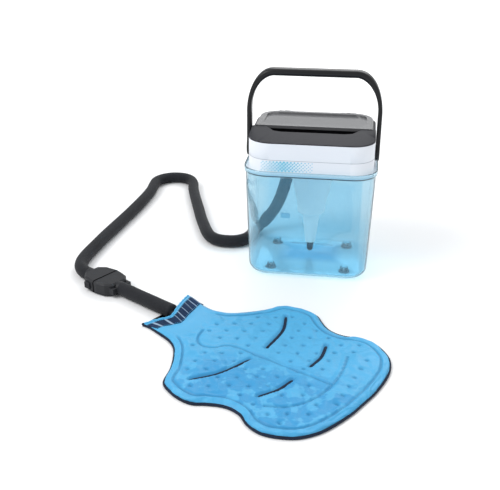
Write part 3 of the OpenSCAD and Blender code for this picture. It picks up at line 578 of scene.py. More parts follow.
@dataclass(frozen=True)
class ClearPlastic:
    """Tinted see-through plastic, as the tank and the inner tubes have."""

    name: str
    slot: str
    colour: Point
    roughness: float = 0.04
    ior: float = 1.3
    shadow: Point = (0.9, 0.97, 0.99)
    shades: tuple[Shade, ...] = ()
    clear: float = 1.0

    def build(self) -> bpy.types.Material:
        """Makes the material. Shadow and bounce rays pass straight through with its tint."""
        bench = Bench(self.name, self.colour)
        grain = bench.group(GRAIN, Grain=60.0, Drift=5.0)
        tone = bench.drift(grain, scaled(self.colour, 0.97), self.colour)
        bench.set(Base_Color=bench.shade(tone, self.shades),
                  Roughness=bench.spread(grain["Height"], self.roughness, self.roughness + 0.03),
                  Transmission_Weight=self.clear, IOR=self.ior)
        through_it = bench.add("ShaderNodeBsdfTransparent", {"Color": (*self.shadow, 1.0)})
        rays = bench.add("ShaderNodeLightPath").outputs
        either = bench.math("MAXIMUM", rays["Is Shadow Ray"], rays["Is Diffuse Ray"])
        mix = bench.add("ShaderNodeMixShader", {0: either, 1: bench.shader.outputs[0],
                                                2: through_it.outputs[0]})
        bench.feed(bench.tree.nodes["Material Output"].inputs["Surface"], mix.outputs[0])
        return bench.material


@dataclass(frozen=True)
class FoamSleeve:
    """Closed cell foam with fine pores and a dusty drift of tone."""

    name: str
    slot: str
    colour: Point

    def build(self) -> bpy.types.Material:
        """Makes the material."""
        bench = Bench(self.name, self.colour)
        grain = bench.group(GRAIN, Grain=420.0, Drift=14.0)
        pores = bench.add("ShaderNodeTexVoronoi", {"Vector": bench.place(), "Scale": 900.0})
        bench.set(Base_Color=bench.drift(grain, scaled(self.colour, 0.8), scaled(self.colour, 1.35)),
                  Roughness=bench.spread(grain["Height"], 0.72, 0.9), Sheen_Weight=0.06,
                  Sheen_Roughness=0.5, Specular_IOR_Level=0.25)
        bench.bump(pores.outputs["Distance"], 0.25, 0.6)
        bench.bump(grain["Height"], 0.3, 0.7)
        return bench.material


@dataclass(frozen=True)
class CoatedCloth:
    """Film coated azure cloth: a soft satin face over a fine weave, with damp patches."""

    name: str
    slot: str
    colour: Point
    damp: Point
    threads: float = 900.0

    def build(self) -> bpy.types.Material:
        """Makes the material. A piece's attributes damp and weld say where patches and welds lie."""
        bench = Bench(self.name, self.colour)
        weave = bench.group(WEAVE, Threads=self.threads)
        grain = bench.group(GRAIN, Grain=240.0, Drift=30.0)
        blots = bench.add("ShaderNodeTexNoise", {"Vector": bench.place(), "Scale": 52.0, "Detail": 2.6,
                                                 "Roughness": 0.45})
        damp, weld = (bench.add("ShaderNodeAttribute", attribute_name=name).outputs["Fac"]
                      for name in ("damp", "weld"))
        patch = bench.math("MULTIPLY", bench.spread(blots.outputs["Fac"], 0.9, 0.0, 0.515, 0.575), damp)
        tone = bench.drift(grain, scaled(self.colour, 0.94), self.colour)
        tone = bench.mix(patch, tone, self.damp)
        tone = bench.mix(bench.spread(weld, 0.0, 0.6, 0.1, 0.8), tone, scaled(self.damp, 0.62))
        bench.set(Base_Color=tone, Roughness=bench.spread(grain["Height"], 0.36, 0.5),
                  Sheen_Weight=0.05, Specular_IOR_Level=0.3)
        bench.bump(weave["Height"], 0.03, 0.5)
        bench.bump(grain["Height"], 0.25, 0.35)
        return bench.material


@dataclass(frozen=True)
class KnitCloth:
    """Dark knitted cloth, and the elastic at the neck with pale cross bars."""

    name: str
    slot: str
    colour: Point
    bar: Optional[Point] = None
    bar_pitch_mm: float = 13.0
    surface: Surface = Surface.OBJECT
    threads: float = 700.0

    def build(self) -> bpy.types.Material:
        """Makes the material. Bars follow the first direction of the piece's UV map."""
        bench = Bench(self.name, self.colour)
        weave = bench.group(WEAVE, self.surface, Threads=self.threads)
        grain = bench.group(GRAIN, Grain=500.0, Drift=40.0)
        tone = bench.drift(grain, self.colour, scaled(self.colour, 1.5))
        if self.bar is not None:
            tone = bench.mix(self._bars(bench), tone, self.bar)
        bench.set(Base_Color=tone, Roughness=bench.spread(weave["Mask"], 0.78, 0.95),
                  Sheen_Weight=0.08, Sheen_Roughness=0.4, Specular_IOR_Level=0.25)
        bench.bump(weave["Height"], 0.12, 0.8)
        return bench.material

    def _bars(self, bench: Bench) -> Socket:
        """A mask of soft bars across the elastic, unevenly spaced.

        Args:
            bench: the material in hand.

        Returns:
            The mask.
        """
        run = bench.add("ShaderNodeSeparateXYZ", {0: bench.place(Surface.UV)}).outputs["X"]
        step = bench.math("DIVIDE", run, self.bar_pitch_mm * MM)
        noise = bench.add("ShaderNodeTexNoise", noise_dimensions="1D")
        bench.feed(noise.inputs["W"], step)
        bench.feed(noise.inputs["Scale"], 1.3)
        share = bench.math("FRACT", bench.math("ADD", step, noise.outputs["Fac"]))
        return bench.math("MULTIPLY", bench.spread(share, 0.0, 1.0, 0.05, 0.11),
                          bench.spread(share, 1.0, 0.0, 0.20, 0.27))


@dataclass(frozen=True)
class Metal:
    """Plain zinc or steel with drawn lines."""

    name: str
    slot: str
    colour: Point
    roughness: float = 0.3

    def build(self) -> bpy.types.Material:
        """Makes the material."""
        bench = Bench(self.name, self.colour)
        grain = bench.group(GRAIN, Grain=1500.0, Drift=60.0)
        bench.set(Base_Color=bench.drift(grain, self.colour, scaled(self.colour, 1.15)),
                  Roughness=bench.spread(grain["Height"], self.roughness - 0.08, self.roughness + 0.1),
                  Metallic=1.0)
        bench.bump(grain["Height"], 0.02)
        return bench.material


class Palette:
    """Every finish of the machine, made once and handed out by name."""

    def __init__(self) -> None:
        """Makes the finishes."""
        # painted shade: a grey line on the white lid at the split between base and housing, where shade falls
        # in the groove
        split_line_shade = Shade((-130, -130, 231.5), (130, 130, 232.5), (0.30, 0.33, 0.38), 0.4)
        deep_base = Shade((-140, -140, -20), (140, 140, 70), (0.40, 0.70, 0.84), 60.0)
        # painted light: a paler tint over the tank's rounded corners, standing in for the lighter look that
        # refraction gives there
        corners = [Shade((min(x, 1.5 * x), -140, 12), (max(x, 1.5 * x), 140, 202), (0.64, 0.80, 0.87), 3.0)
                   for x in (-93, 93)]
        sump = Shade((-66, -34, -60), (66, 66, 60), (0.14, 0.52, 0.76), 26.0)
        # painted shadow: near-black colour over the deck's finger recess, where shade falls beneath the hatch
        painted_recess_shadow = Shade((-92, -46, 240), (92, 4, 266.4), (0.004, 0.004, 0.005), 0.8)
        self.finishes = {
            # the tank's tint carries the painted paler corners
            "tank": ClearPlastic("tank blue", "tank_blue", (0.54, 0.76, 0.86), 0.03, 1.42,
                                 (0.86, 0.955, 0.985), (*corners, deep_base, sump), 0.935),
            "boss": ClearPlastic("boss blue", "tank_blue", (0.80, 0.93, 0.97), 0.05, 1.06),
            "tube": ClearPlastic("clear tube", "tube_clear", (0.9, 0.96, 0.98), 0.15, 1.35),
            "white": MouldedPlastic("white housing", "white_plastic", (0.76, 0.79, 0.84), 0.34, 0.012,
                                    1400.0, 0.008, 0.05, specular=0.4, shades=(split_line_shade,)),
            # the deck grey carries the painted shadow in its finger recess
            "deck": MouldedPlastic("deck grey", "deck_grey", (0.026, 0.027, 0.033), 0.55, 0.04,
                                   1600.0, 0.012, 0.06, specular=0.12, shades=(painted_recess_shadow,)),
            "hatch": MouldedPlastic("hatch grey", "hatch_grey", (0.120, 0.121, 0.128), 0.16, 0.02,
                                    1600.0, 0.003, 0.03, ior=2.3),
            "handle": MouldedPlastic("handle black", "handle_black", (0.0075, 0.0078, 0.009), 0.34,
                                     0.1, 1200.0, 0.02, 0.1, specular=0.3),
            "pump": MouldedPlastic("pump white", "pump_white", (0.90, 0.95, 0.98), 0.5, 0.02),
            "strainer": MouldedPlastic("strainer dark", "strainer_dark", (0.008, 0.02, 0.045), 0.5),
            "coupling": MouldedPlastic("coupling charcoal", "coupling_black", (0.016, 0.017, 0.020), 0.5,
                                       0.14, 420.0, 0.14, 0.1, specular=0.3),
            "board": MouldedPlastic("board green", "board_green", (0.03, 0.16, 0.08), 0.35),
            "dots": MouldedPlastic("dot print", "white_plastic", (0.040, 0.48, 0.69), 0.5, 0.02,
                                   specular=0.1),
            # painted shade: near-black finish of the ring in the coupling's joint, standing in for the shade
            # of the gap
            "seal": MouldedPlastic("seam black", "rubber_dark", (0.0015, 0.0015, 0.002), 0.8, 0.1,
                                   700.0, 0.02, specular=0.1),
            "rubber": MouldedPlastic("dark rubber", "rubber_dark", (0.022, 0.028, 0.036), 0.7, 0.1,
                                     700.0, 0.05, specular=0.3),
            "foot": MouldedPlastic("foot rubber", "rubber_dark", (0.070, 0.115, 0.140), 0.7, 0.1,
                                   700.0, 0.05, specular=0.3),
            "foam": FoamSleeve("hose foam", "sleeve_foam", (0.0115, 0.0125, 0.0155)),
            "azure": CoatedCloth("azure film cloth", "pad_azure", (0.080, 0.415, 0.720),
                                 (0.036, 0.295, 0.590)),
            "navy": KnitCloth("navy knit", "pad_navy", (0.008, 0.015, 0.034)),
            "elastic": KnitCloth("neck elastic", "pad_navy", (0.007, 0.024, 0.066),
                                 (0.30, 0.42, 0.56), surface=Surface.UV),
            "steel": Metal("zinc steel", "steel", (0.62, 0.62, 0.64)),
            "motor": Metal("motor can", "motor_metal", (0.36, 0.38, 0.4), 0.4),
        }
        self.materials = {k: f.build() for k, f in self.finishes.items()}

    def dress(self, piece: bpy.types.Object, finish: str) -> None:
        """Gives a piece one finish."""
        piece.data.materials.clear()
        piece.data.materials.append(self.materials[finish])

    def dress_nodes(self, finish: str, *nodes: str) -> None:
        """Gives CAD nodes one finish."""
        for name in nodes:
            self.dress(cad(name), finish)


# ------------------------------------------------------------------ geometry node makers


class Grower(Group):
    """A geometry node tree that ends in Realize Instances and Set Material."""

    def __init__(self, name: str, *inputs: tuple[str, str, object]) -> None:
        """Starts the tree with its own inputs between the geometry and the material."""
        super().__init__(name, "GeometryNodeTree", [("Geometry", "Geometry", None), *inputs,
                                                    ("Material", "Material", None)],
                         [("Geometry", "Geometry")])

    def finish(self, instances: Socket) -> None:
        """Ends the tree in Realize Instances and Set Material.

        Args:
            instances: what the tree has made.
        """
        real = self.add("GeometryNodeRealizeInstances", {0: instances})
        paint = self.add("GeometryNodeSetMaterial", {"Geometry": real.outputs[0],
                                                     "Material": self.arg("Material")})
        self.give(Geometry=paint.outputs[0])

    def grow(self, name: str, base: bpy.types.Object, values: dict[str, object]) -> bpy.types.Object:
        """Runs the tree on an object and keeps the result as a plain mesh.

        Args:
            name: the new piece's name.
            base: the object that the tree starts from, removed afterwards.
            values: the tree's inputs by name.

        Returns:
            The new piece.
        """
        modifier = base.modifiers.new("grow", "NODES")
        modifier.node_group = self.tree
        for label, value in values.items():
            modifier[self.keys[label]] = value
        mesh = evaluated_mesh(base)
        bpy.data.objects.remove(base)
        mesh.name = name
        return add_object(name, mesh)


def line_base(points: Sequence[Vector]) -> bpy.types.Object:
    """A poly curve, for a tree that follows a line.

    Args:
        points: the line, in millimetres.

    Returns:
        The curve's object.
    """
    curve = bpy.data.curves.new("line base", "CURVE")
    curve.dimensions = "3D"
    spline = curve.splines.new("POLY")
    spline.points.add(len(points) - 1)
    for knot, place in zip(spline.points, metres(points)):
        knot.co = (*place, 1.0)
    return add_object("line base", curve)


def halftone_tree() -> Grower:
    """A staggered lattice of round dots that shrink away from the lattice's heart."""
    maker = Grower("halftone dots", ("Pitch", "Float", 0.005), ("Columns", "Int", 18), ("Rows", "Int", 4),
                   ("Dot", "Float", 0.001), ("Heart", "Float", -0.008), ("Reach", "Float", 0.05),
                   ("Place", "Vector", None))
    pitch = maker.arg("Pitch")
    join = maker.add("GeometryNodeJoinGeometry")
    for shift in (-0.25, 0.25):
        size_x, size_y = (maker.math("MULTIPLY", maker.math("SUBTRACT", maker.arg(count), 1.0), pitch)
                          for count in ("Columns", "Rows"))
        grid = maker.add("GeometryNodeMeshGrid", {"Vertices X": maker.arg("Columns"), "Size X": size_x,
                                                  "Vertices Y": maker.arg("Rows"), "Size Y": size_y})
        half = maker.math("MULTIPLY", pitch, shift)
        offset = maker.add("ShaderNodeCombineXYZ", {0: half, 1: half})
        move = maker.add("GeometryNodeTransform", {"Geometry": grid.outputs["Mesh"],
                                                   "Translation": offset.outputs[0]})
        maker.feed(join.inputs[0], move.outputs[0])
    disc = maker.add("GeometryNodeMeshCylinder", {"Vertices": 10, "Depth": 0.0003,
                                                  "Radius": maker.arg("Dot")})
    where = maker.add("GeometryNodeInputPosition").outputs[0]
    along = maker.add("ShaderNodeSeparateXYZ", {0: where}).outputs["X"]
    away = maker.math("ABSOLUTE", maker.math("SUBTRACT", along, maker.arg("Heart")))
    place = maker.add("GeometryNodeInstanceOnPoints", {
        "Points": join.outputs[0], "Instance": disc.outputs["Mesh"],
        "Scale": maker.spread(away, 1.0, 0.42, 0.0, maker.arg("Reach"))})
    stand = maker.add("GeometryNodeTransform", {
        "Geometry": place.outputs[0], "Rotation": (math.pi / 2, 0.0, 0.0), "Translation": maker.arg("Place")})
    maker.finish(stand.outputs[0])
    return maker


def stitch_tree() -> Grower:
    """Short thread stitches laid end to end along a line."""
    maker = Grower("thread stitches", ("Pitch", "Float", 0.004), ("Stitch", "Float", 0.0026),
                   ("Thread", "Float", 0.0003))
    even = maker.add("GeometryNodeResampleCurve", {"Curve": maker.arg("Geometry"),
                                                   "Length": maker.arg("Pitch")}, mode="LENGTH")
    thread = maker.add("GeometryNodeMeshCylinder", {"Vertices": 6, "Radius": maker.arg("Thread"),
                                                    "Depth": maker.arg("Stitch")})
    heading = maker.add("GeometryNodeInputTangent").outputs[0]
    turn = maker.add("FunctionNodeAlignRotationToVector", {"Vector": heading}, axis="Z")
    place = maker.add("GeometryNodeInstanceOnPoints", {
        "Points": even.outputs[0], "Instance": thread.outputs["Mesh"], "Rotation": turn.outputs[0]})
    maker.finish(place.outputs[0])
    return maker


def rib_tree() -> Grower:
    """A row of small upright grip ribs along a line."""
    maker = Grower("grip ribs", ("Count", "Int", 5), ("Rib", "Float", 0.0005), ("Length", "Float", 0.009))
    even = maker.add("GeometryNodeResampleCurve", {"Curve": maker.arg("Geometry"),
                                                   "Count": maker.arg("Count")}, mode="COUNT")
    rib = maker.add("GeometryNodeMeshCylinder", {"Vertices": 10, "Radius": maker.arg("Rib"),
                                                 "Depth": maker.arg("Length")})
    place = maker.add("GeometryNodeInstanceOnPoints", {"Points": even.outputs[0],
                                                       "Instance": rib.outputs["Mesh"]})
    maker.finish(place.outputs[0])
    return maker


# ------------------------------------------------------------------ studio


@dataclass
class Studio:
    """Camera, pale floor and soft lights."""

    camera_m: Point = (0.138, -1.133, 0.655)
    heading: Point = (-0.1495, 0.9888)
    pitch_deg: float = 25.06
    lens_mm: float = 54.0
    sky_light: float = 0.68
    sky_seen: float = 1.05
    floor_half: float = 6.0
    lights: tuple = (("key light", (-1.6, -0.9, 2.1), (0.0, 0.1, 0.05), 1.3, 38.0),
                     ("fill light", (1.9, -0.9, 1.5), (0.0, 0.1, 0.1), 1.6, 8.0),
                     ("back light", (0.3, 2.1, 1.9), (0.0, 0.1, 0.1), 1.8, 30.0))

    def build(self) -> None:
        """Makes the camera first, then the floor, the sky and the lights."""
        scene = bpy.context.scene
        data = bpy.data.cameras.new("camera")
        data.lens, data.sensor_width, data.clip_start = self.lens_mm, 36.0, 0.05
        camera = add_object("camera", data)
        down = math.radians(self.pitch_deg)
        level = Vector((*self.heading, 0.0)).normalized()
        self._aim(camera, self.camera_m, level * math.cos(down) - Vector((0.0, 0.0, math.sin(down))))
        scene.camera = camera
        scene.view_settings.view_transform = "Standard"
        self._floor()
        self._sky()
        for light in self.lights:
            self._soft_box(*light)

    @staticmethod
    def _aim(thing: bpy.types.Object, place: Point, gaze: Vector) -> None:
        """Stands a camera or light at a place in metres and turns it along a direction."""
        thing.location = place
        thing.rotation_mode = "QUATERNION"
        thing.rotation_quaternion = gaze.to_track_quat("-Z", "Y")

    def _floor(self) -> None:
        """A plain pale floor far wider than the view, lifted to white where the lights don't reach."""
        mesh = bpy.data.meshes.new("floor")
        corners = [(self.floor_half * x, self.floor_half * y, 0) for x, y in CORNERS]
        mesh.from_pydata(corners, [], [(0, 1, 2, 3)])
        bench = Bench("pale floor", (0.93, 0.93, 0.935), 0.7)
        away = bench.add("ShaderNodeVectorMath", {0: bench.place()}, operation="LENGTH")
        bench.set(Specular_IOR_Level=0.2, Emission_Color=(1.0, 1.0, 1.0, 1.0),
                  Emission_Strength=bench.spread(away.outputs["Value"], 0.0, 0.48, 1.1, 2.6))
        mesh.materials.append(bench.material)
        add_object("floor", mesh)

    def _sky(self) -> None:
        """An even surround, white where the camera sees it and dimmer as a light."""
        world = bpy.data.worlds.new("surround")
        world.use_nodes = True
        sky = Tree(world.node_tree)
        seen = sky.add("ShaderNodeLightPath").outputs["Is Camera Ray"]
        background = world.node_tree.nodes["Background"].inputs
        sky.feed(background["Color"], (0.97, 0.985, 1.0, 1.0))
        sky.feed(background["Strength"], sky.spread(seen, self.sky_light, self.sky_seen, 0.0, 1.0))
        bpy.context.scene.world = world

    def _soft_box(self, name: str, place: Point, aim: Point, size: float, power: float) -> None:
        """A square area light.

        Args:
            name: the light's name.
            place: where it stands, in metres.
            aim: the point that it faces.
            size: its side.
            power: its power in watts.
        """
        data = bpy.data.lights.new(name, "AREA")
        data.size, data.energy = size, power
        self._aim(add_object(name, data), place, Vector(aim) - Vector(place))


# ------------------------------------------------------------------ hoses


@dataclass
class Hoses:
    """The two foam sleeved hoses that lie on the floor."""

    palette: Palette
    radius: float = 12.5
    route: list[Point] = field(default_factory=lambda: [
        (-45, 120, 214), (-45, 120, 206), (-47, 120, 188), (-52, 121, 160), (-58, 122, 130),
        (-65, 123, 102), (-73, 124, 76), (-83, 122, 54), (-95, 117, 36), (-108, 109, 23),
        (-118, 97, 15), (-124, 81, 13), (-126, 62, 13), (-134, 42, 13), (-150, 28, 13),
        (-171, 24, 13), (-192, 28, 13), (-208, 41, 13), (-220, 62, 13), (-234, 97, 13),
        (-248, 135, 13), (-262, 178, 13), (-276, 220, 13), (-290, 263, 13), (-303, 306, 13),
        (-312, 343, 13), (-324, 366, 13), (-345, 379, 13), (-371, 379, 13), (-392, 366, 13),
        (-404, 344, 13), (-404, 318, 13), (-401, 280, 13), (-402, 235, 13), (-405, 190, 13),
        (-409, 145, 13), (-414, 100, 13), (-419, 55, 13), (-424, 10, 13), (-428, -35, 13),
        (-431, -75, 13), (-431, -104, 13), (-427, -126, 13), (-419, -142, 13),
        (-408, -153, 12.5), (-398, -159, 12.5)])
    rings: int = 380
    pad_rings: int = 96
    sides: int = 32
    joined: tuple[str, ...] = ("coupling_socket", "left_release", "right_release", "coupling_plug",
                               "plug_nozzles", "plug_seals", "release_springs")

    def build(self) -> None:
        """Makes both hoses and says how long they are."""
        self._main()
        self._pad_end()

    def _main(self) -> None:
        """The long hose from the elbow to the coupling, with folds where it bends hard."""
        line = [on_machine(*p) for p in through(self.route, self.rings)]
        hose = tube("main_hose_sleeve", line, self._folds(line), self.sides, Vector((0, 1, 0)))
        self.palette.dress(hose, "foam")
        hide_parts("main_hose")
        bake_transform(hose)
        log.info("main hose: %.3f m", line_length(line) * MM)

    def _folds(self, line: Sequence[Vector]) -> Callable[[int, float, Vector], float]:
        """The radius of a foam sleeve that puckers on the inside of its bends.

        Args:
            line: the hose's middle line.

        Returns:
            A function that gives the radius at a ring, an angle and an outward direction.
        """
        last, length = len(line) - 1, line_length(line)
        bends = [(line[max(i - 4, 0)] + line[min(i + 4, last)]) / 2 - b for i, b in enumerate(line)]

        def radius(i: int, angle: float, out: Vector) -> float:
            """One point's radius: plain sleeve, folded and drawn in on the inside of bends.

            Args:
                i: the ring's number.
                angle: the angle round the ring.
                out: the outward direction.

            Returns:
                The radius, in millimetres.
            """
            bend, run = bends[i], i * length / len(line)
            inner = max(0.0, out.dot(bend.normalized())) if bend.length > 1e-6 else 0.0
            hard = smoothstep(0.35, 1.5, bend.length)
            fold = math.sin(2 * math.pi * run / 8.5 + 0.7 * math.sin(3 * angle))
            wander = 0.108 * math.sin(run / 23.0 + 2.0 * angle)
            return self.radius - 0.15 + wander + hard * inner ** 2 * 0.85 * fold - hard * inner * 0.3

        return radius

    def _pad_end(self) -> None:
        """The short hose beyond the coupling: foam up to the neck, then its bare pair of tubes."""
        run = np.linspace(-110, 42, self.pad_rings)
        dips = [on_wrap(s, 0.0, 12.5 - 2.4 * smoothstep(18, 42, s)) for s in run]

        def radius(i: int, angle: float, out: Vector) -> float:
            """One point's radius: the foam sleeve, its open end, or the two tubes side by side.

            Args:
                i: the ring's number.
                angle: the angle round the ring.
                out: the outward direction; not used.

            Returns:
                The radius, in millimetres.
            """
            side, up = abs(math.sin(angle)), abs(math.cos(angle))
            pair = 4.4 * side + math.sqrt(max(2.2, 4.1 ** 2 - (4.4 * up) ** 2))
            wander = 0.1 * math.sin(run[i] / 9.0 + 2.0 * angle)
            ease = smoothstep(20.5, 22.5, run[i])
            return (self.radius - 0.1 + wander) * (1 - ease) + pair * ease

        hose = tube("pad_hose_sleeve", dips, radius, self.sides)
        self.palette.dress(hose, "foam")
        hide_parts("pad_hose")
        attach(hose, "wrap")
        log.info("pad hose: %.3f m", line_length(dips) * MM)


# ------------------------------------------------------------------ machine


@dataclass
class Tank:
    """The clear blue tank with its rim, sump, foot bosses and feet."""

    palette: Palette
    rim: Point = (240.0, 212.0, 44.0)
    rim_top: float = 213.0
    ledge: float = 203.0
    step: float = 2.0
    taper: float = 6.0
    wall: float = 2.5
    corner_wall: float = 1.8
    base: float = 3.0
    floor: float = 6.0
    fillet: float = 16.0
    feet: Point = (70.0, 57.0)
    wall_rows: int = 8
    fillet_steps: int = 12
    boss_sides: int = 28

    def build(self) -> None:
        """Makes the shell and dresses the feet."""
        shell = loft("tank_shell", self._outside() + self._inside(), MOULDED_TURN)
        self.palette.dress(shell, "tank")
        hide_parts("tank")
        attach(shell, "tank")
        self._bosses()
        self._plate()
        self.palette.dress_nodes("foot", "tank_feet")
        soften(cad("tank_feet"), 0.8)
        self.palette.dress_nodes("steel", "foot_screws")
        log.info("tank: shell of %d faces", len(shell.data.polygons))

    def _rim_loop(self, inset: float, z: float) -> Loop:
        """A loop of the rim, drawn in by a distance."""
        w, d, r = self.rim
        return rounded_loop(w - 2 * inset, d - 2 * inset, r - inset, z)

    def _wall_loop(self, inset: float, share: float, z: float, back: float = 0.0) -> Loop:
        """A loop of the leaning wall or of its rounded foot.

        Args:
            inset: distance inside the outer wall.
            share: 0 at the top of the wall and 1 at its foot.
            z: height.
            back: how far the rounded foot draws it in.

        Returns:
            The loop.
        """
        drawn = self.step + inset + share * self.taper
        thick = self.corner_wall * min(inset / self.wall, 1.0) if inset > 0 else 0.0
        return rounded_loop(self.rim[0] - 2 * drawn - 2 * back, self.rim[1] - 2 * drawn - 2 * back,
                            self.rim[2] - self.step - inset - share * self.taper / 2 - thick - back, z)

    def _fillet(self, inset: float, radius: float, foot: float) -> list[Loop]:
        """Loops of the rounded lower edge, from the flat base up to the wall.

        Args:
            inset: distance inside the outer wall.
            radius: radius of the edge.
            foot: height of the flat base.

        Returns:
            The loops, lowest first.
        """
        loops = []
        for k in range(self.fillet_steps + 1):
            a = math.radians(90.0 * k / self.fillet_steps)
            loops.append(self._wall_loop(inset, 1.0, foot + radius * (1 - math.cos(a)),
                                         radius * (1 - math.sin(a))))
        return loops

    def _outside(self) -> list[Loop]:
        """Loops from the middle of the base up to the rim's top."""
        top, start, rows = self.rim_top, self.base + self.fillet, self.wall_rows
        loops = [rounded_loop(150, 122, 12, self.base)] + self._fillet(0.0, self.fillet, self.base)
        loops += [self._wall_loop(0.0, 1 - k / rows, start + (self.ledge - start) * k / rows)
                  for k in range(1, rows)]
        loops += [self._wall_loop(0.0, 0.0, self.ledge - 1.2), self._wall_loop(-0.5, 0.0, self.ledge - 0.4)]
        return loops + [self._rim_loop(inset, z) for inset, z in (
            (0.4, self.ledge + 0.3), (0.0, self.ledge + 1.2), (0.0, top - 1.1), (0.3, top - 0.3), (1.1, top))]

    def _inside(self) -> list[Loop]:
        """Loops from the rim's top down the inside to the sump."""
        top, inset, rows = self.rim_top, self.wall, self.wall_rows
        foot = self.floor + self.fillet - inset
        loops = [self._rim_loop(drawn, z) for drawn, z in (
            (1.9, top - 0.3), (2.2, top - 1.1), (2.2, self.ledge + 0.5), (2.45, self.ledge))]
        loops += [self._wall_loop(inset - 0.6, 0.0, self.ledge),
                  self._wall_loop(inset, 0.0, self.ledge - 0.8)]
        loops += [self._wall_loop(inset, k / rows, self.ledge + (foot - self.ledge) * k / rows)
                  for k in range(1, rows)]
        loops += self._fillet(inset, self.fillet - inset, self.floor)[::-1]
        return loops + [rounded_loop(w, d, r, self.floor - drop, 18) for w, d, r, drop in (
            (104, 84, 17, 0.0), (97, 77, 13.5, 0.15), (92, 72, 11, 0.6), (87, 67, 8.5, 0.9))]

    def _bosses(self) -> None:
        """Round bosses over the four foot screws."""
        turns = [2 * math.pi * k / self.boss_sides for k in range(self.boss_sides)]
        for i, (sx, sy) in enumerate(CORNERS):
            middle = on_machine(sx * self.feet[0], sy * self.feet[1], 0)
            boss = loft(f"tank_boss_{i}", [
                [middle + Vector((r * math.cos(a), r * math.sin(a), z)) for a in turns]
                for r, z in ((7.6, 5.95), (7.0, 6.6), (6.8, 12.3), (6.2, 12.9), (2.4, 12.9), (2.0, 12.4),
                             (1.8, 7.0))], MOULDED_TURN)
            self.palette.dress(boss, "boss")
            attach(boss, "tank")

    def _plate(self) -> None:
        """The small moulded plate inside the rear wall."""
        middle = on_machine(-59, 95.2, 47)
        plate = loft("tank_plate", [
            [middle + Vector((x, y, z)) for x, z in rounded_plan(19 - 2 * inset, 11 - 2 * inset,
                                                                 2.5 - inset, 6)]
            for inset, y in ((1.2, -1.6), (0.4, -1.2), (0.0, -0.4), (0.0, 1.4))], MOULDED_TURN)
        self.palette.dress(plate, "tank")
        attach(plate, "tank")


@dataclass
class Lid:
    """The white lid with its grey deck, hatch, dot print, controls and hose port."""

    palette: Palette
    size: Point = (225.0, 197.0, 42.0)
    dots_at: Point = (-40.0, 221.0)
    dot_pitch: float = 6.2
    dot_radius: float = 2.0

    def build(self) -> None:
        """Dresses the lid's CAD nodes and prints the dots."""
        dress = self.palette.dress_nodes
        dress("rubber", "lid_gasket", "hatch_seal")
        dress("steel", "lid_screws", "hatch_pins")
        dress("tube", "delivery_tube", "return_tube")
        dress("board", "circuit_board", "button_switch")
        dress("white", "mouth_chute")
        for node, finish, width in (("lid_base", "white", 0.6), ("lid_housing", "white", 0.6),
                                    ("top_deck", "deck", 0.7), ("hatch", "hatch", 0.7),
                                    ("power_inlet", "handle", 0.3), ("power_button", "deck", 0.6),
                                    ("elbow_nut", "white", 0.4), ("hose_elbow", "handle", 0.8)):
            dress(finish, node)
            soften(cad(node), width)
        self._dots()
        log.info("lid: nodes dressed and dots printed")

    def _dots(self) -> None:
        """The halftone print on the front of the lower band, wrapped round its corner."""
        place = on_machine(self.dots_at[0], -self.size[1] / 2, self.dots_at[1])
        empty = add_object("dots base", bpy.data.meshes.new("dots base"))
        dots = halftone_tree().grow("band_dots", empty, {
            "Pitch": self.dot_pitch * MM, "Columns": 15, "Rows": 3, "Dot": self.dot_radius * MM,
            "Heart": -0.006, "Reach": 0.046, "Place": tuple(place * MM),
            "Material": self.palette.materials["dots"]})
        start, radius = self.size[0] / 2 - self.size[2], self.size[2]
        for v in dots.data.vertices:
            past = max(0.0, MACHINE_MIDDLE.x - v.co.x / MM - start)
            v.co.y += (radius - math.sqrt(max(0.0, radius ** 2 - past ** 2))) * MM
        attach(dots, "lid")


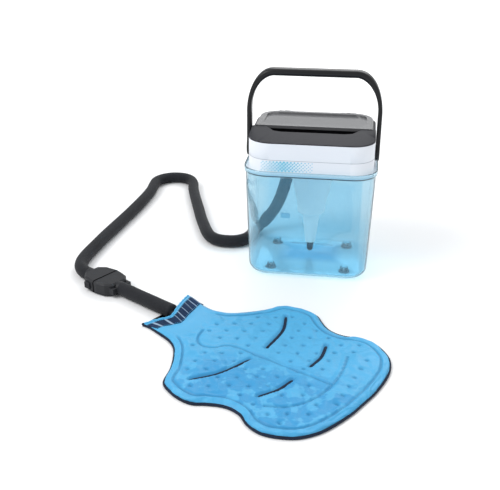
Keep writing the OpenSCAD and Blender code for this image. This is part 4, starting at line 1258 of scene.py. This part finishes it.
@dataclass
class Handle:
    """The black carrying handle: two flat legs that turn into a rounder grip."""

    palette: Palette
    half_width: float = 113.7
    leg: Point = (8.0, 24.0)
    grip_thick: float = 14.0
    pivot: Point = (-15.0, 232.0)
    boss_radius: float = 18.4
    height: float = 145.0
    grip_half: float = 73.0
    foot_drop: float = 18.0
    spring_share: float = 0.47
    leg_steps: int = 14
    bend_steps: int = 24
    grip_steps: int = 8
    sides: int = 36

    def build(self) -> None:
        """Makes the handle and dresses its pivots."""
        body = self._body()
        self.palette.dress(body, "handle")
        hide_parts("handle")
        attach(body, "handle")
        self.palette.dress_nodes("white", "pivot_bosses")
        self.palette.dress_nodes("steel", "pivot_screws")
        log.info("handle: %d faces", len(body.data.polygons))

    def _middle_line(self) -> list[tuple[Vector, float]]:
        """The handle's middle line in the plane of its arch, with each place's share of the grip."""
        foot_x = self.half_width + self.leg[0] / 2
        foot_z = self.pivot[1] - self.foot_drop
        spring = self.pivot[1] + self.height * self.spring_share
        top = self.pivot[1] + self.height - self.grip_thick / 2
        half = [(Vector((foot_x, 0.0, foot_z + (spring - foot_z) * k / self.leg_steps)), 0.0)
                for k in range(self.leg_steps)]
        for k in range(self.bend_steps + 1):
            a = math.radians(90.0 * k / self.bend_steps)
            half.append((Vector((self.grip_half + (foot_x - self.grip_half) * math.cos(a), 0.0,
                                 spring + (top - spring) * math.sin(a))), k / self.bend_steps))
        half += [(Vector((self.grip_half * (1 - k / self.grip_steps), 0.0, top)), 1.0)
                 for k in range(1, self.grip_steps + 1)]
        return half + [(Vector((-p.x, p.y, p.z)), share) for p, share in half[-2::-1]]

    def _body(self) -> bpy.types.Object:
        """Sweeps a rounded section along the arch."""
        line = self._middle_line()
        round_end = 2 * self.boss_radius
        loops: list[Loop] = []
        for i, (p, share) in enumerate(line):
            before, after = line[max(i - 1, 0)][0], line[min(i + 1, len(line) - 1)][0]
            along = (after - before).normalized()
            out = Vector((along.z, 0.0, -along.x))
            thick = self.leg[0] + (self.grip_thick - self.leg[0]) * smoothstep(0.15, 0.9, share)
            below = self.pivot[1] - p.z
            broad = self.leg[1]
            if below > 0:
                broad = min(2 * math.sqrt(max(1.0, self.boss_radius ** 2 - below ** 2)), round_end)
            elif share == 0.0:
                broad += (round_end - broad) * smoothstep(16.0, 0.0, -below)
            power = 5.0 - 2.6 * smoothstep(0.2, 1.0, share)
            loop: Loop = []
            for k in range(self.sides):
                turn = 2 * math.pi * k / self.sides
                u, v = (math.copysign(abs(t) ** (2 / power), t) * size / 2
                        for t, size in ((math.cos(turn), thick), (math.sin(turn), broad)))
                q = p + out * u
                loop.append(on_machine(q.x, self.pivot[0] + v, q.z))
            loops.append(loop)
        return loft("handle_body", loops, 55.0)


@dataclass
class Pump:
    """The pump column under the lid, with its motor, impeller, intake and strainer."""

    palette: Palette

    def build(self) -> None:
        """Dresses the pump's CAD nodes."""
        dress = self.palette.dress_nodes
        dress("pump", "pump_column", "pump_volute", "intake_tube", "motor_plate", "impeller")
        dress("strainer", "intake_strainer")
        dress("motor", "pump_motor")
        dress("steel", "motor_shaft")
        dress("rubber", "shaft_seal")
        log.info("pump: nodes dressed")


@dataclass
class Coupling:
    """The two halves of the quick coupling with their release buttons."""

    palette: Palette
    middle_s: float = -150.0
    middle_z: float = 12.5
    half_width: float = 30.0
    half_height: float = 12.0
    # radius of the seam ring, whose near-black colour is painted shade of the gap between the halves
    seal: float = 1.3
    seam_shade_lowest: float = 1.4
    rib_span: Point = (-19.0, -11.0)
    rib_count: int = 4
    rib_size: Point = (0.55, 9.0)

    def build(self) -> None:
        """Dresses the halves and ribs the buttons."""
        for node, width in (("coupling_socket", 1.2), ("coupling_plug", 1.2), ("left_release", 1.0),
                            ("right_release", 1.0)):
            self.palette.dress_nodes("coupling", node)
            soften(cad(node), width, 3)
        self.palette.dress_nodes("coupling", "plug_nozzles")
        self.palette.dress_nodes("rubber", "plug_seals")
        self.palette.dress_nodes("steel", "release_springs")
        self._ribs()
        self._seam()

    def _seam(self) -> None:
        """A thin near-black ring laid in the joint between the two halves, as painted shade of the gap
        between them.
        """
        rim: set[tuple[float, float]] = set()
        for v in cad("coupling_plug").data.vertices:
            d = v.co / MM - WRAP_START
            if abs(d.x * WRAP_COS + d.y * WRAP_SIN - self.middle_s) < 0.4:
                rim.add((round(-d.x * WRAP_SIN + d.y * WRAP_COS, 2), round(d.z, 2)))

        def flat(p: Point) -> tuple[float, float]:
            """A rim point as shares of the coupling's half width and half height."""
            return p[0] / self.half_width, (p[1] - self.middle_z) / self.half_height

        outer = [p for p in sorted(rim, key=lambda p: math.atan2(*flat(p)[::-1]))
                 if math.hypot(*flat(p)) > 0.86]
        line = [on_wrap(self.middle_s, n * 0.99,
                        max(self.seam_shade_lowest, self.middle_z + (z - self.middle_z) * 0.975))
                for n, z in outer + outer[:2]]
        seam = tube("coupling_seam_shade", line, lambda i, a, out: self.seal, 8, Vector((0.3, 0.2, 1.0)))
        self.palette.dress(seam, "seal")
        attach(seam, "wrap")

    def _ribs(self) -> None:
        """Grip ribs on the outer face of each release button."""
        for side, body in ((1, "left_release"), (-1, "right_release")):
            ends = [on_wrap(self.middle_s + s, side * (self.half_width + 3.0), self.middle_z)
                    for s in self.rib_span]
            ribs = rib_tree().grow(f"{body}_ribs", line_base(ends), {
                "Count": self.rib_count, "Rib": self.rib_size[0] * MM, "Length": self.rib_size[1] * MM,
                "Material": self.palette.materials["coupling"]})
            ribs.data.shade_smooth()
            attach(ribs, body)


# ------------------------------------------------------------------ wrap pad


def nearest(line: np.ndarray, s: np.ndarray, n: np.ndarray) -> np.ndarray:
    """Distance of each place from a line of points.

    Args:
        line: the line's points, along and across the pad.
        s: places along the pad.
        n: places across it.

    Returns:
        The distances, in millimetres.
    """
    best = np.full(s.shape, 1e9)
    for p in line:
        best = np.minimum(best, (s - p[0]) ** 2 + (n - p[1]) ** 2)
    return np.sqrt(best)


def ease(share: np.ndarray) -> np.ndarray:
    """A share from 0 to 1 with soft ends."""
    return share * share * (3 - 2 * share)


@dataclass
class WrapPad:
    """The shaped wrap pad: navy backing, welded azure water layer and open neck."""

    palette: Palette
    length: float = 403.0
    half: float = 160.0
    backing: float = 4.2
    crown: float = 9.2
    border: float = 3.1
    weld_depth: float = 0.72
    edge_count: int = 520
    neck_reach: float = 110.0
    band_span: Point = (-49.0, 60.5)
    rim_weld: float = 12.4
    dot_start: Point = (101.0, 24.0)
    dot_row: Point = (22.5, 18.5)
    dot_column: Point = (5.0, -24.0)
    dot_shift: float = 1.2
    dot_field: Point = (92.0, 392.0, 150.0)
    dot_clear: Point = (22.0, 24.0, 8.5)
    outline: list[Point] = field(default_factory=lambda: [
        (0, 0.39), (0.08, 0.37), (0.16, 0.37), (0.22, 0.43), (0.27, 0.55), (0.32, 0.72),
        (0.36, 0.91), (0.42, 0.98), (0.48, 1), (0.53, 0.98), (0.57, 0.91), (0.61, 0.85),
        (0.65, 0.82), (0.7, 0.83), (0.75, 0.89), (0.81, 0.91), (0.87, 0.86), (0.93, 0.75),
        (0.97, 0.58), (0.99, 0.38), (1, 0.16)])
    slots: list[list[Point]] = field(default_factory=lambda: [
        [(174, 118), (197, 78), (209, 20)], [(278, 86), (290, 54), (292, 22)],
        [(174, -118), (197, -78), (209, -20)], [(278, -86), (290, -54), (292, -22)]])
    spine: list[Point] = field(default_factory=lambda: [
        (97, -5), (104, -24), (116, -37), (132, -40), (146, -32), (156, -16), (176, -9),
        (230, -5), (290, -1), (344, 3)])
    crescent: list[Point] = field(default_factory=lambda: [
        (323, 79), (336, 46), (344, 14), (346, -12), (344, -40), (336, -64), (322, -84), (300, -98)])
    hem: list[Point] = field(default_factory=lambda: [
        (-54, 1, 4), (-46, 4, 5), (-36, 13, 9), (-27, 24, 12.5), (-17, 33, 15), (-8, 32, 17.5),
        (8, 25, 19.5), (24, 19, 20), (40, 13, 19.5), (56, 7, 17), (62, 4, 13)])

    def build(self) -> None:
        """Makes the pad's layers, lowest first."""
        self.edge = self._edge_points()
        self.welds = [self._plan(self.spine, 160), self._plan(self.crescent, 70)]
        self.slot_lines = [self._plan(s, 40) for s in self.slots]
        self.dots = self._dot_places()
        self._backing()
        self._top()
        self._tapes()
        self._band()
        self._hem_roll()
        log.info("wrap pad: %d weld dots", len(self.dots))

    @staticmethod
    def _plan(points: Sequence[Point], count: int) -> np.ndarray:
        """A smooth plan curve as an array of places along and across the pad."""
        return np.array([(p.x, p.y) for p in through(points, count)])

    def _edge_points(self) -> np.ndarray:
        """The pad's closed outline."""
        near = self._plan([(a * self.length, b * self.half) for a, b in self.outline], self.edge_count)
        tip = [(self.length, y) for y in np.linspace(near[-1][1], -near[-1][1], 22)[1:-1]]
        return np.array([*near, *tip, *(near[::-1] * (1, -1))])

    def _lean(self, s: float) -> float:
        """How much narrower the neck is on its right side."""
        return 1.0 - 0.16 * smoothstep(70.0, 0.0, s)

    def _neck_share(self, s: float) -> float:
        """How much a place along the pad moves with the hem: 1 at the neck's end, 0 past its reach."""
        return max(0.0, 1.0 - s / self.neck_reach)

    def half_at(self, s: float, side: int) -> float:
        """Half width of the outline at a place along the pad; the neck is narrower on one side."""
        rows = self.edge[:self.edge_count]
        width = float(np.interp(s, rows[:, 0], rows[:, 1]))
        return width * self._lean(s) if side < 0 else width

    def hem_at(self, n: float) -> tuple[float, float]:
        """Place along the pad and height of the open hem, across the pad at n."""
        rows = np.array(self.hem, float)
        return tuple(float(np.interp(n, rows[:, 0], rows[:, k])) for k in (1, 2))

    def _dot_places(self) -> np.ndarray:
        """Weld dots on a slanting lattice, kept clear of the outline, the welds and the slots."""
        rng = random.Random(7)
        found = []
        lines = self.welds + self.slot_lines
        nearest_end, farthest_end, side_end = self.dot_field
        side_clear, edge_clear, line_clear = self.dot_clear
        for i in range(-14, 20):
            for j in range(-14, 16):
                s, n = (start + i * row + j * column + rng.uniform(-self.dot_shift, self.dot_shift)
                        for start, row, column in zip(self.dot_start, self.dot_row, self.dot_column))
                here = np.array([s, n])
                if not nearest_end < s < farthest_end or abs(n) > side_end:
                    continue
                if self.half_at(s, 1) - abs(n) < side_clear:
                    continue
                if np.hypot(*(self.edge - here).T).min() < edge_clear:
                    continue
                if min(np.hypot(*(line - here).T).min() for line in lines) < line_clear:
                    continue
                found.append((s, n))
        return np.array(found)

    def _cell(self, rows: int, columns: int) -> tuple[np.ndarray, np.ndarray]:
        """The grid of places along and across the pad, following the outline and the hem.

        Args:
            rows: rows along the pad.
            columns: columns across it.

        Returns:
            Places along and places across, each rows + 1 by columns + 1.
        """
        along = np.zeros((rows + 1, columns + 1))
        across = np.zeros((rows + 1, columns + 1))
        for i in range(rows + 1):
            base = self.length * (i / rows)
            for j in range(columns + 1):
                t = 2.0 * j / columns - 1.0
                side = 1 if t >= 0 else -1
                t = math.sin(abs(t) * math.pi / 2) * 0.35 + abs(t) * 0.65
                guess = t * self.half_at(base, side) * side
                s = min(base + self.hem_at(guess)[0] * self._neck_share(base), self.length - 0.3)
                along[i, j] = s
                across[i, j] = t * (self.half_at(s, side) - 0.3) * side
        return self._draw_in(along, across)

    def _draw_in(self, s: np.ndarray, n: np.ndarray) -> tuple[np.ndarray, np.ndarray]:
        """Draws the cells next to the outline inwards, square to it, to leave the bound border.

        Args:
            s: places along the pad.
            n: places across it.

        Returns:
            The places along and across, drawn in.
        """
        flat = np.stack([s.ravel(), n.ravel()], axis=1)
        reach = 16.0
        for i, p in enumerate(flat):
            away = p - self.edge
            far = np.hypot(away[:, 0], away[:, 1])
            k = int(far.argmin())
            if far[k] < reach:
                wanted = self.border + far[k] * (reach - self.border) / reach
                flat[i] = self.edge[k] + away[k] / max(far[k], 1e-6) * wanted
        return flat[:, 0].reshape(s.shape), flat[:, 1].reshape(n.shape)

    def _weld_share(self, s: np.ndarray, n: np.ndarray, line: float, spot: float) -> np.ndarray:
        """How much each place is welded down, from 0 to 1.

        Args:
            s: places along the pad.
            n: places across it.
            line: half breadth of the weld lines.
            spot: radius of the weld dots.

        Returns:
            The weld shares.
        """
        rim = nearest(self.edge, s, n) - self.border
        share = np.exp(-((rim - self.rim_weld) / line) ** 2) * np.clip((s - 66.0) / 14.0, 0, 1) * 0.85
        for weld in self.welds:
            share = np.maximum(share, np.exp(-(nearest(weld, s, n) / line) ** 2) * 0.9)
        return np.maximum(share, np.exp(-(nearest(self.dots, s, n) / spot) ** 2))

    def _top_height(self, s: np.ndarray, n: np.ndarray, hem_s: np.ndarray,
                    hem_z: np.ndarray) -> tuple[np.ndarray, np.ndarray]:
        """Height of the water layer and how much each place is welded down.

        Args:
            s: places along the pad.
            n: places across it.
            hem_s: the hem's place along, for each column.
            hem_z: the hem's height, for each column.

        Returns:
            Heights in millimetres, and weld shares from 0 to 1.
        """
        far = nearest(self.edge, s, n)
        edge = np.clip((far - self.border) / 8.5, 0, 1)
        roll = np.sqrt(np.clip(1 - (1 - edge) ** 2, 0, 1))
        inner = 1.0 - 0.10 * np.clip((far - self.border - 12.0) / 4.0, 0, 1)
        weld = self._weld_share(s, n, 2.4, 2.7)
        flat = self.backing + (self.crown - self.backing) * (roll * inner - weld * self.weld_depth)
        tent = np.clip((s - hem_s - 8.0) / np.maximum(66.0 - hem_s, 1.0), 0, 1)
        blend = ease(tent)
        ruffle = 0.8 * np.sin(n / 4.6 + s / 9.0) * (1 - blend) * np.clip((s - hem_s) / 14.0, 0, 1)
        low = self.backing * 0.4
        sides = np.clip((far - 2.0) / 9.0, 0, 1) ** 0.6
        neck = hem_z * (1 - tent) + (self.crown - 1.0) * tent
        neck = low + (neck - low) * (0.35 + 0.65 * sides) + ruffle
        return neck * (1 - blend) + flat * blend, weld * blend

    def _sharpen(self, piece: bpy.types.Object) -> None:
        """Presses the fine weld lines, the dots and the bending slots into the swollen cloth.

        Args:
            piece: the water layer.
        """
        mesh = piece.data
        co = np.zeros(len(mesh.vertices) * 3)
        mesh.vertices.foreach_get("co", co)
        co = co.reshape(-1, 3) / MM
        x, y = co[:, 0] - WRAP_START.x, co[:, 1] - WRAP_START.y
        s, n = x * WRAP_COS + y * WRAP_SIN, -x * WRAP_SIN + y * WRAP_COS
        old = np.zeros(len(mesh.vertices))
        mesh.attributes["weld"].data.foreach_get("value", old)
        new = self._weld_share(s, n, 2.2, 3.1) * np.clip((s - 70.0) / 14.0, 0, 1)
        upper = co[:, 2] > self.backing + 0.9
        drop = (new - old) * (self.crown - self.backing) * self.weld_depth * 1.3
        co[:, 2] -= np.where(upper, drop, 0.0)
        cut = np.zeros_like(s)
        for line in self.slot_lines:
            cut = np.maximum(cut, np.clip((4.8 - nearest(line, s, n)) / 2.3, 0, 1))
        floor = np.minimum(co[:, 2], self.backing + 0.2)
        co[:, 2] = np.where(upper, co[:, 2] * (1 - cut) + floor * cut, co[:, 2])
        mesh.vertices.foreach_set("co", (co * MM).ravel())
        mesh.attributes["weld"].data.foreach_set("value", np.maximum(new, cut * 0.6).astype(np.float32))
        mesh.update()

    def _under_height(self, s: np.ndarray, top: np.ndarray, hem_s: np.ndarray) -> np.ndarray:
        """Height of the water layer's underside, which opens into a thin sheet at the neck."""
        share = ease(np.clip((s - hem_s - 10.0) / 45.0, 0, 1))
        low = np.maximum(0.6, (top - 1.5) * (1 - share) + (self.backing - 0.6) * share)
        return np.minimum(low, top - 0.8)

    def _top(self) -> None:
        """The azure water layer, inflated between its welds."""
        rows, columns = 104, 84
        s, n = self._cell(rows, columns)
        hem = np.array([self.hem_at(v) for v in n[0]])
        hem_s, hem_z = hem[:, 0][None, :], hem[:, 1][None, :]
        top, weld = self._top_height(s, n, hem_s, hem_z)
        points = [on_wrap(*place) for z in (top, self._under_height(s, top, hem_s))
                  for place in zip(s.ravel(), n.ravel(), z.ravel())]
        piece = make_piece("pad_water_layer", points, sheet_faces(rows, columns), 180.0)
        if len(piece.data.vertices) != len(points):
            raise ValueError("the water layer's corners were merged")
        far = nearest(self.edge, s, n)
        wet = np.clip((s - 120) / 60, 0, 1) * np.clip((16 - n + (s - 250) * 0.3) / 60, 0, 1)
        wet = wet * np.clip((far - 10) / 8, 0.35, 1)
        for name, share in (("weld", weld), ("damp", wet)):
            layer = piece.data.attributes.new(name, "FLOAT", "POINT")
            layer.data.foreach_set("value", np.tile(share.ravel(), 2).astype(np.float32))
        slot = np.min([nearest(line, s, n) for line in self.slot_lines], axis=0)
        held = ((weld > 0.32) | (far - self.border < 1.5) | (slot < 5.0) | (s < 84.0)).ravel()
        inflate(piece, [*np.flatnonzero(held).tolist(), *range(held.size, 2 * held.size)], 7.0, 2.6)
        smooth = piece.modifiers.new("smooth cloth", "SUBSURF")
        smooth.levels = smooth.render_levels = 1
        baked = evaluated_mesh(piece)
        piece.modifiers.clear()
        piece.data = baked
        self._sharpen(piece)
        piece.data.shade_smooth()
        self.palette.dress(piece, "azure")
        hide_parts("pad_bladder", "neck_sleeve")
        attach(piece, "wrap")

    def _rim(self) -> np.ndarray:
        """The backing's closed outline, whose neck end follows the hem."""
        sides = [(s, n) for s, n in self.edge[:self.edge_count:2]]
        sides += [(s, -n * self._lean(s)) for s, n in sides[::-1]]
        rim = [(s + self.hem_at(n)[0] * self._neck_share(s), n) for s, n in sides]
        neck = [(self.hem_at(n)[0] + 0.8, n) for n in np.linspace(rim[-1][1], rim[0][1], 50)[1:-1]]
        return np.array(rim + neck)

    def _rim_line(self, inset: float, z: float) -> list[Vector]:
        """The backing's outline drawn in by a distance, less so at the two neck corners.

        Args:
            inset: the distance.
            z: height of the line.

        Returns:
            The closed line.
        """
        rim = self._rim()
        corners = (rim[0], rim[self.edge_count - 1])
        line: list[Vector] = []
        for i, (s, n) in enumerate(rim):
            a, b = rim[i - 1], rim[(i + 1) % len(rim)]
            d = (b - a) / max(float(np.hypot(*(b - a))), 1e-9)
            near = min(float(np.hypot(*(rim[i] - corner))) for corner in corners)
            drawn = inset * (0.15 + 0.85 * smoothstep(0.0, 16.0, near))
            line.append(on_wrap(s + d[1] * drawn, n - d[0] * drawn, z))
        return line

    def _stitch(self, name: str, line: Sequence[Vector], finish: str, sizes: Point) -> None:
        """Sews a row of stitches.

        Args:
            name: the row's name.
            line: the line that it follows.
            finish: the thread's finish.
            sizes: pitch, length and radius of a stitch in millimetres.
        """
        row = stitch_tree().grow(name, line_base(line), {
            **{label: size * MM for label, size in zip(("Pitch", "Stitch", "Thread"), sizes)},
            "Material": self.palette.materials[finish]})
        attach(row, "wrap")

    def _backing(self) -> None:
        """The navy backing: a thin cushion of cloth with a bound edge all round."""
        piece = loft("pad_backing_cloth", [self._rim_line(inset, z) for inset, z in (
            (9.0, 0.15), (3.0, 0.15), (1.2, 0.5), (0.4, 1.6), (0.2, 2.9), (0.7, 4.1), (1.8, 4.9),
            (3.0, 4.8), (4.1, 4.3), (9.0, 4.0))], SOFT_TURN)
        self.palette.dress(piece, "navy")
        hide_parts("pad_backing")
        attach(piece, "wrap")
        self._stitch("edge_stitches", self._rim_line(1.9, 5.0)[:self.edge_count], "navy", (3.6, 2.4, 0.28))

    def _tapes(self) -> None:
        """Knitted tape at the bottom of each bending slot, with a low crown."""
        section = ((-3.1, 3.9), (-2.9, 5.2), (-1.7, 5.7), (1.7, 5.7), (2.9, 5.2), (3.1, 3.9))
        for i, line in enumerate(self.slot_lines):
            loops: list[Loop] = []
            last = len(line) - 1
            for k, (s, n) in enumerate(line):
                d = line[min(k + 1, last)] - line[max(k - 1, 0)]
                d = d / np.hypot(*d) * math.sqrt(max(0.05, 1 - abs(2 * k / last - 1) ** 12))
                loops.append([on_wrap(s - d[1] * across, n + d[0] * across, z) for across, z in section])
            tape = loft(f"slot_tape_{i}", loops, MOULDED_TURN)
            self.palette.dress(tape, "navy")
            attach(tape, "wrap")
            if i == 0:
                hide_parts("slot_tapes")

    def _neck_point(self, n: float, back: float, lift: float) -> Vector:
        """A place on the neck's upper sheet.

        Args:
            n: place across the pad.
            back: distance behind the hem.
            lift: height above the sheet.

        Returns:
            The place, in the part's frame.
        """
        hem_s, hem_z = self.hem_at(n)
        s = back + hem_s * self._neck_share(back)
        top, _ = self._top_height(*(np.array([[v]]) for v in (s, n, hem_s, hem_z)))
        return on_wrap(s, n, float(top[0, 0]) + lift)

    def _band(self) -> None:
        """The navy elastic with pale bars, sewn over the neck behind the hem."""
        columns, rows = 72, 8
        left, right = self.band_span
        points: list[Vector] = []
        for lift in (0.9, -0.5):
            for i in range(rows + 1):
                for j in range(columns + 1):
                    pucker = 0.35 * math.sin(j * 1.7) if 0 < i < rows else 0.0
                    points.append(self._neck_point(left + (right - left) * j / columns,
                                                   8.0 + 25.0 * i / rows, lift + pucker))
        band = make_piece("neck_elastic", points, sheet_faces(rows, columns), 70.0)
        uv = band.data.uv_layers.new(name="along")
        for loop in band.data.loops:
            row, column = divmod(loop.vertex_index % ((rows + 1) * (columns + 1)), columns + 1)
            uv.data[loop.index].uv = ((right - left) * column / columns * MM, 25.5 * row / rows * MM)
        self.palette.dress(band, "elastic")
        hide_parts("neck_band")
        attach(band, "wrap")
        for k, back in enumerate((9.4, 31.6)):
            line = [self._neck_point(left + (right - left) * j / 60, back, 1.1) for j in range(61)]
            self._stitch(f"band_stitches_{k}", line, "azure", (3.2, 2.2, 0.25))

    def _hem_roll(self) -> None:
        """The rolled azure hem that stands open round the hose."""
        line = [self._neck_point(-50.0 + 111.0 * j / 80, 0.6, -0.4) for j in range(81)]
        roll = tube("neck_hem", line, lambda i, a, out: 1.7 + 0.3 * math.sin(i * 0.9)
                    + 0.25 * math.sin(i * 2.3), 14)
        self.palette.dress(roll, "azure")
        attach(roll, "wrap")
        tip = self._neck_point(-51.0, 0.5, -0.5)
        bead = tube("neck_bead", [tip + Vector((-2.5 + 0.5 * k, 0.0, 0.0)) for k in range(11)],
                    lambda i, a, out: 2.4 * math.sqrt(max(0.02, 1 - ((i - 5) / 5.2) ** 2)), 14)
        self.palette.dress(bead, "navy")
        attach(bead, "wrap")


def inflate(piece: bpy.types.Object, pins: Sequence[int], pressure: float, cap_mm: float) -> None:
    """Swells a cloth piece between its held places and keeps the result.

    Args:
        piece: the closed mesh.
        pins: vertices that stay where they are.
        pressure: pressure of the filling.
        cap_mm: the farthest that any point may move.
    """
    scene = bpy.context.scene
    steps = 20
    rest = np.zeros(len(piece.data.vertices) * 3)
    piece.data.vertices.foreach_get("co", rest)
    group = piece.vertex_groups.new(name="held")
    group.add(list(pins), 1.0, "REPLACE")
    cloth = piece.modifiers.new("swell", "CLOTH")
    for label, value in {"quality": 5, "mass": 0.25, "tension_stiffness": 12.0,
                         "compression_stiffness": 12.0, "bending_stiffness": 0.3, "shrink_min": -0.03,
                         "vertex_group_mass": "held", "use_pressure": True,
                         "uniform_pressure_force": pressure}.items():
        setattr(cloth.settings, label, value)
    cloth.settings.effector_weights.gravity = 0.0
    cloth.collision_settings.use_collision = False
    cloth.point_cache.frame_start, cloth.point_cache.frame_end = 1, steps
    for step in range(1, steps + 1):
        scene.frame_set(step)
    graph = bpy.context.evaluated_depsgraph_get()
    swollen = np.zeros_like(rest)
    piece.evaluated_get(graph).data.vertices.foreach_get("co", swollen)
    moved = (swollen - rest).reshape(-1, 3)
    size = np.linalg.norm(moved, axis=1, keepdims=True)
    scale = np.minimum(1.0, cap_mm * MM / np.maximum(size, 1e-9))
    piece.modifiers.remove(cloth)
    scene.frame_set(1)
    piece.data.vertices.foreach_set("co", (rest + (moved * scale).ravel()))
    piece.data.update()
    log.info("cloth: mean swell %.2f mm, largest %.2f mm", float(size.mean()) / MM, float(size.max()) / MM)


# ------------------------------------------------------------------ the whole


def main() -> None:
    """Builds the sub-assemblies in order and reports each."""
    logging.basicConfig(level=logging.INFO, format="%(name)s: %(message)s")
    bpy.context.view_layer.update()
    Studio().build()
    palette = Palette()
    for sub_assembly in (Hoses, Tank, Lid, Handle, Pump, Coupling, WrapPad):
        sub_assembly(palette).build()


if __name__ == "__main__":
    main()
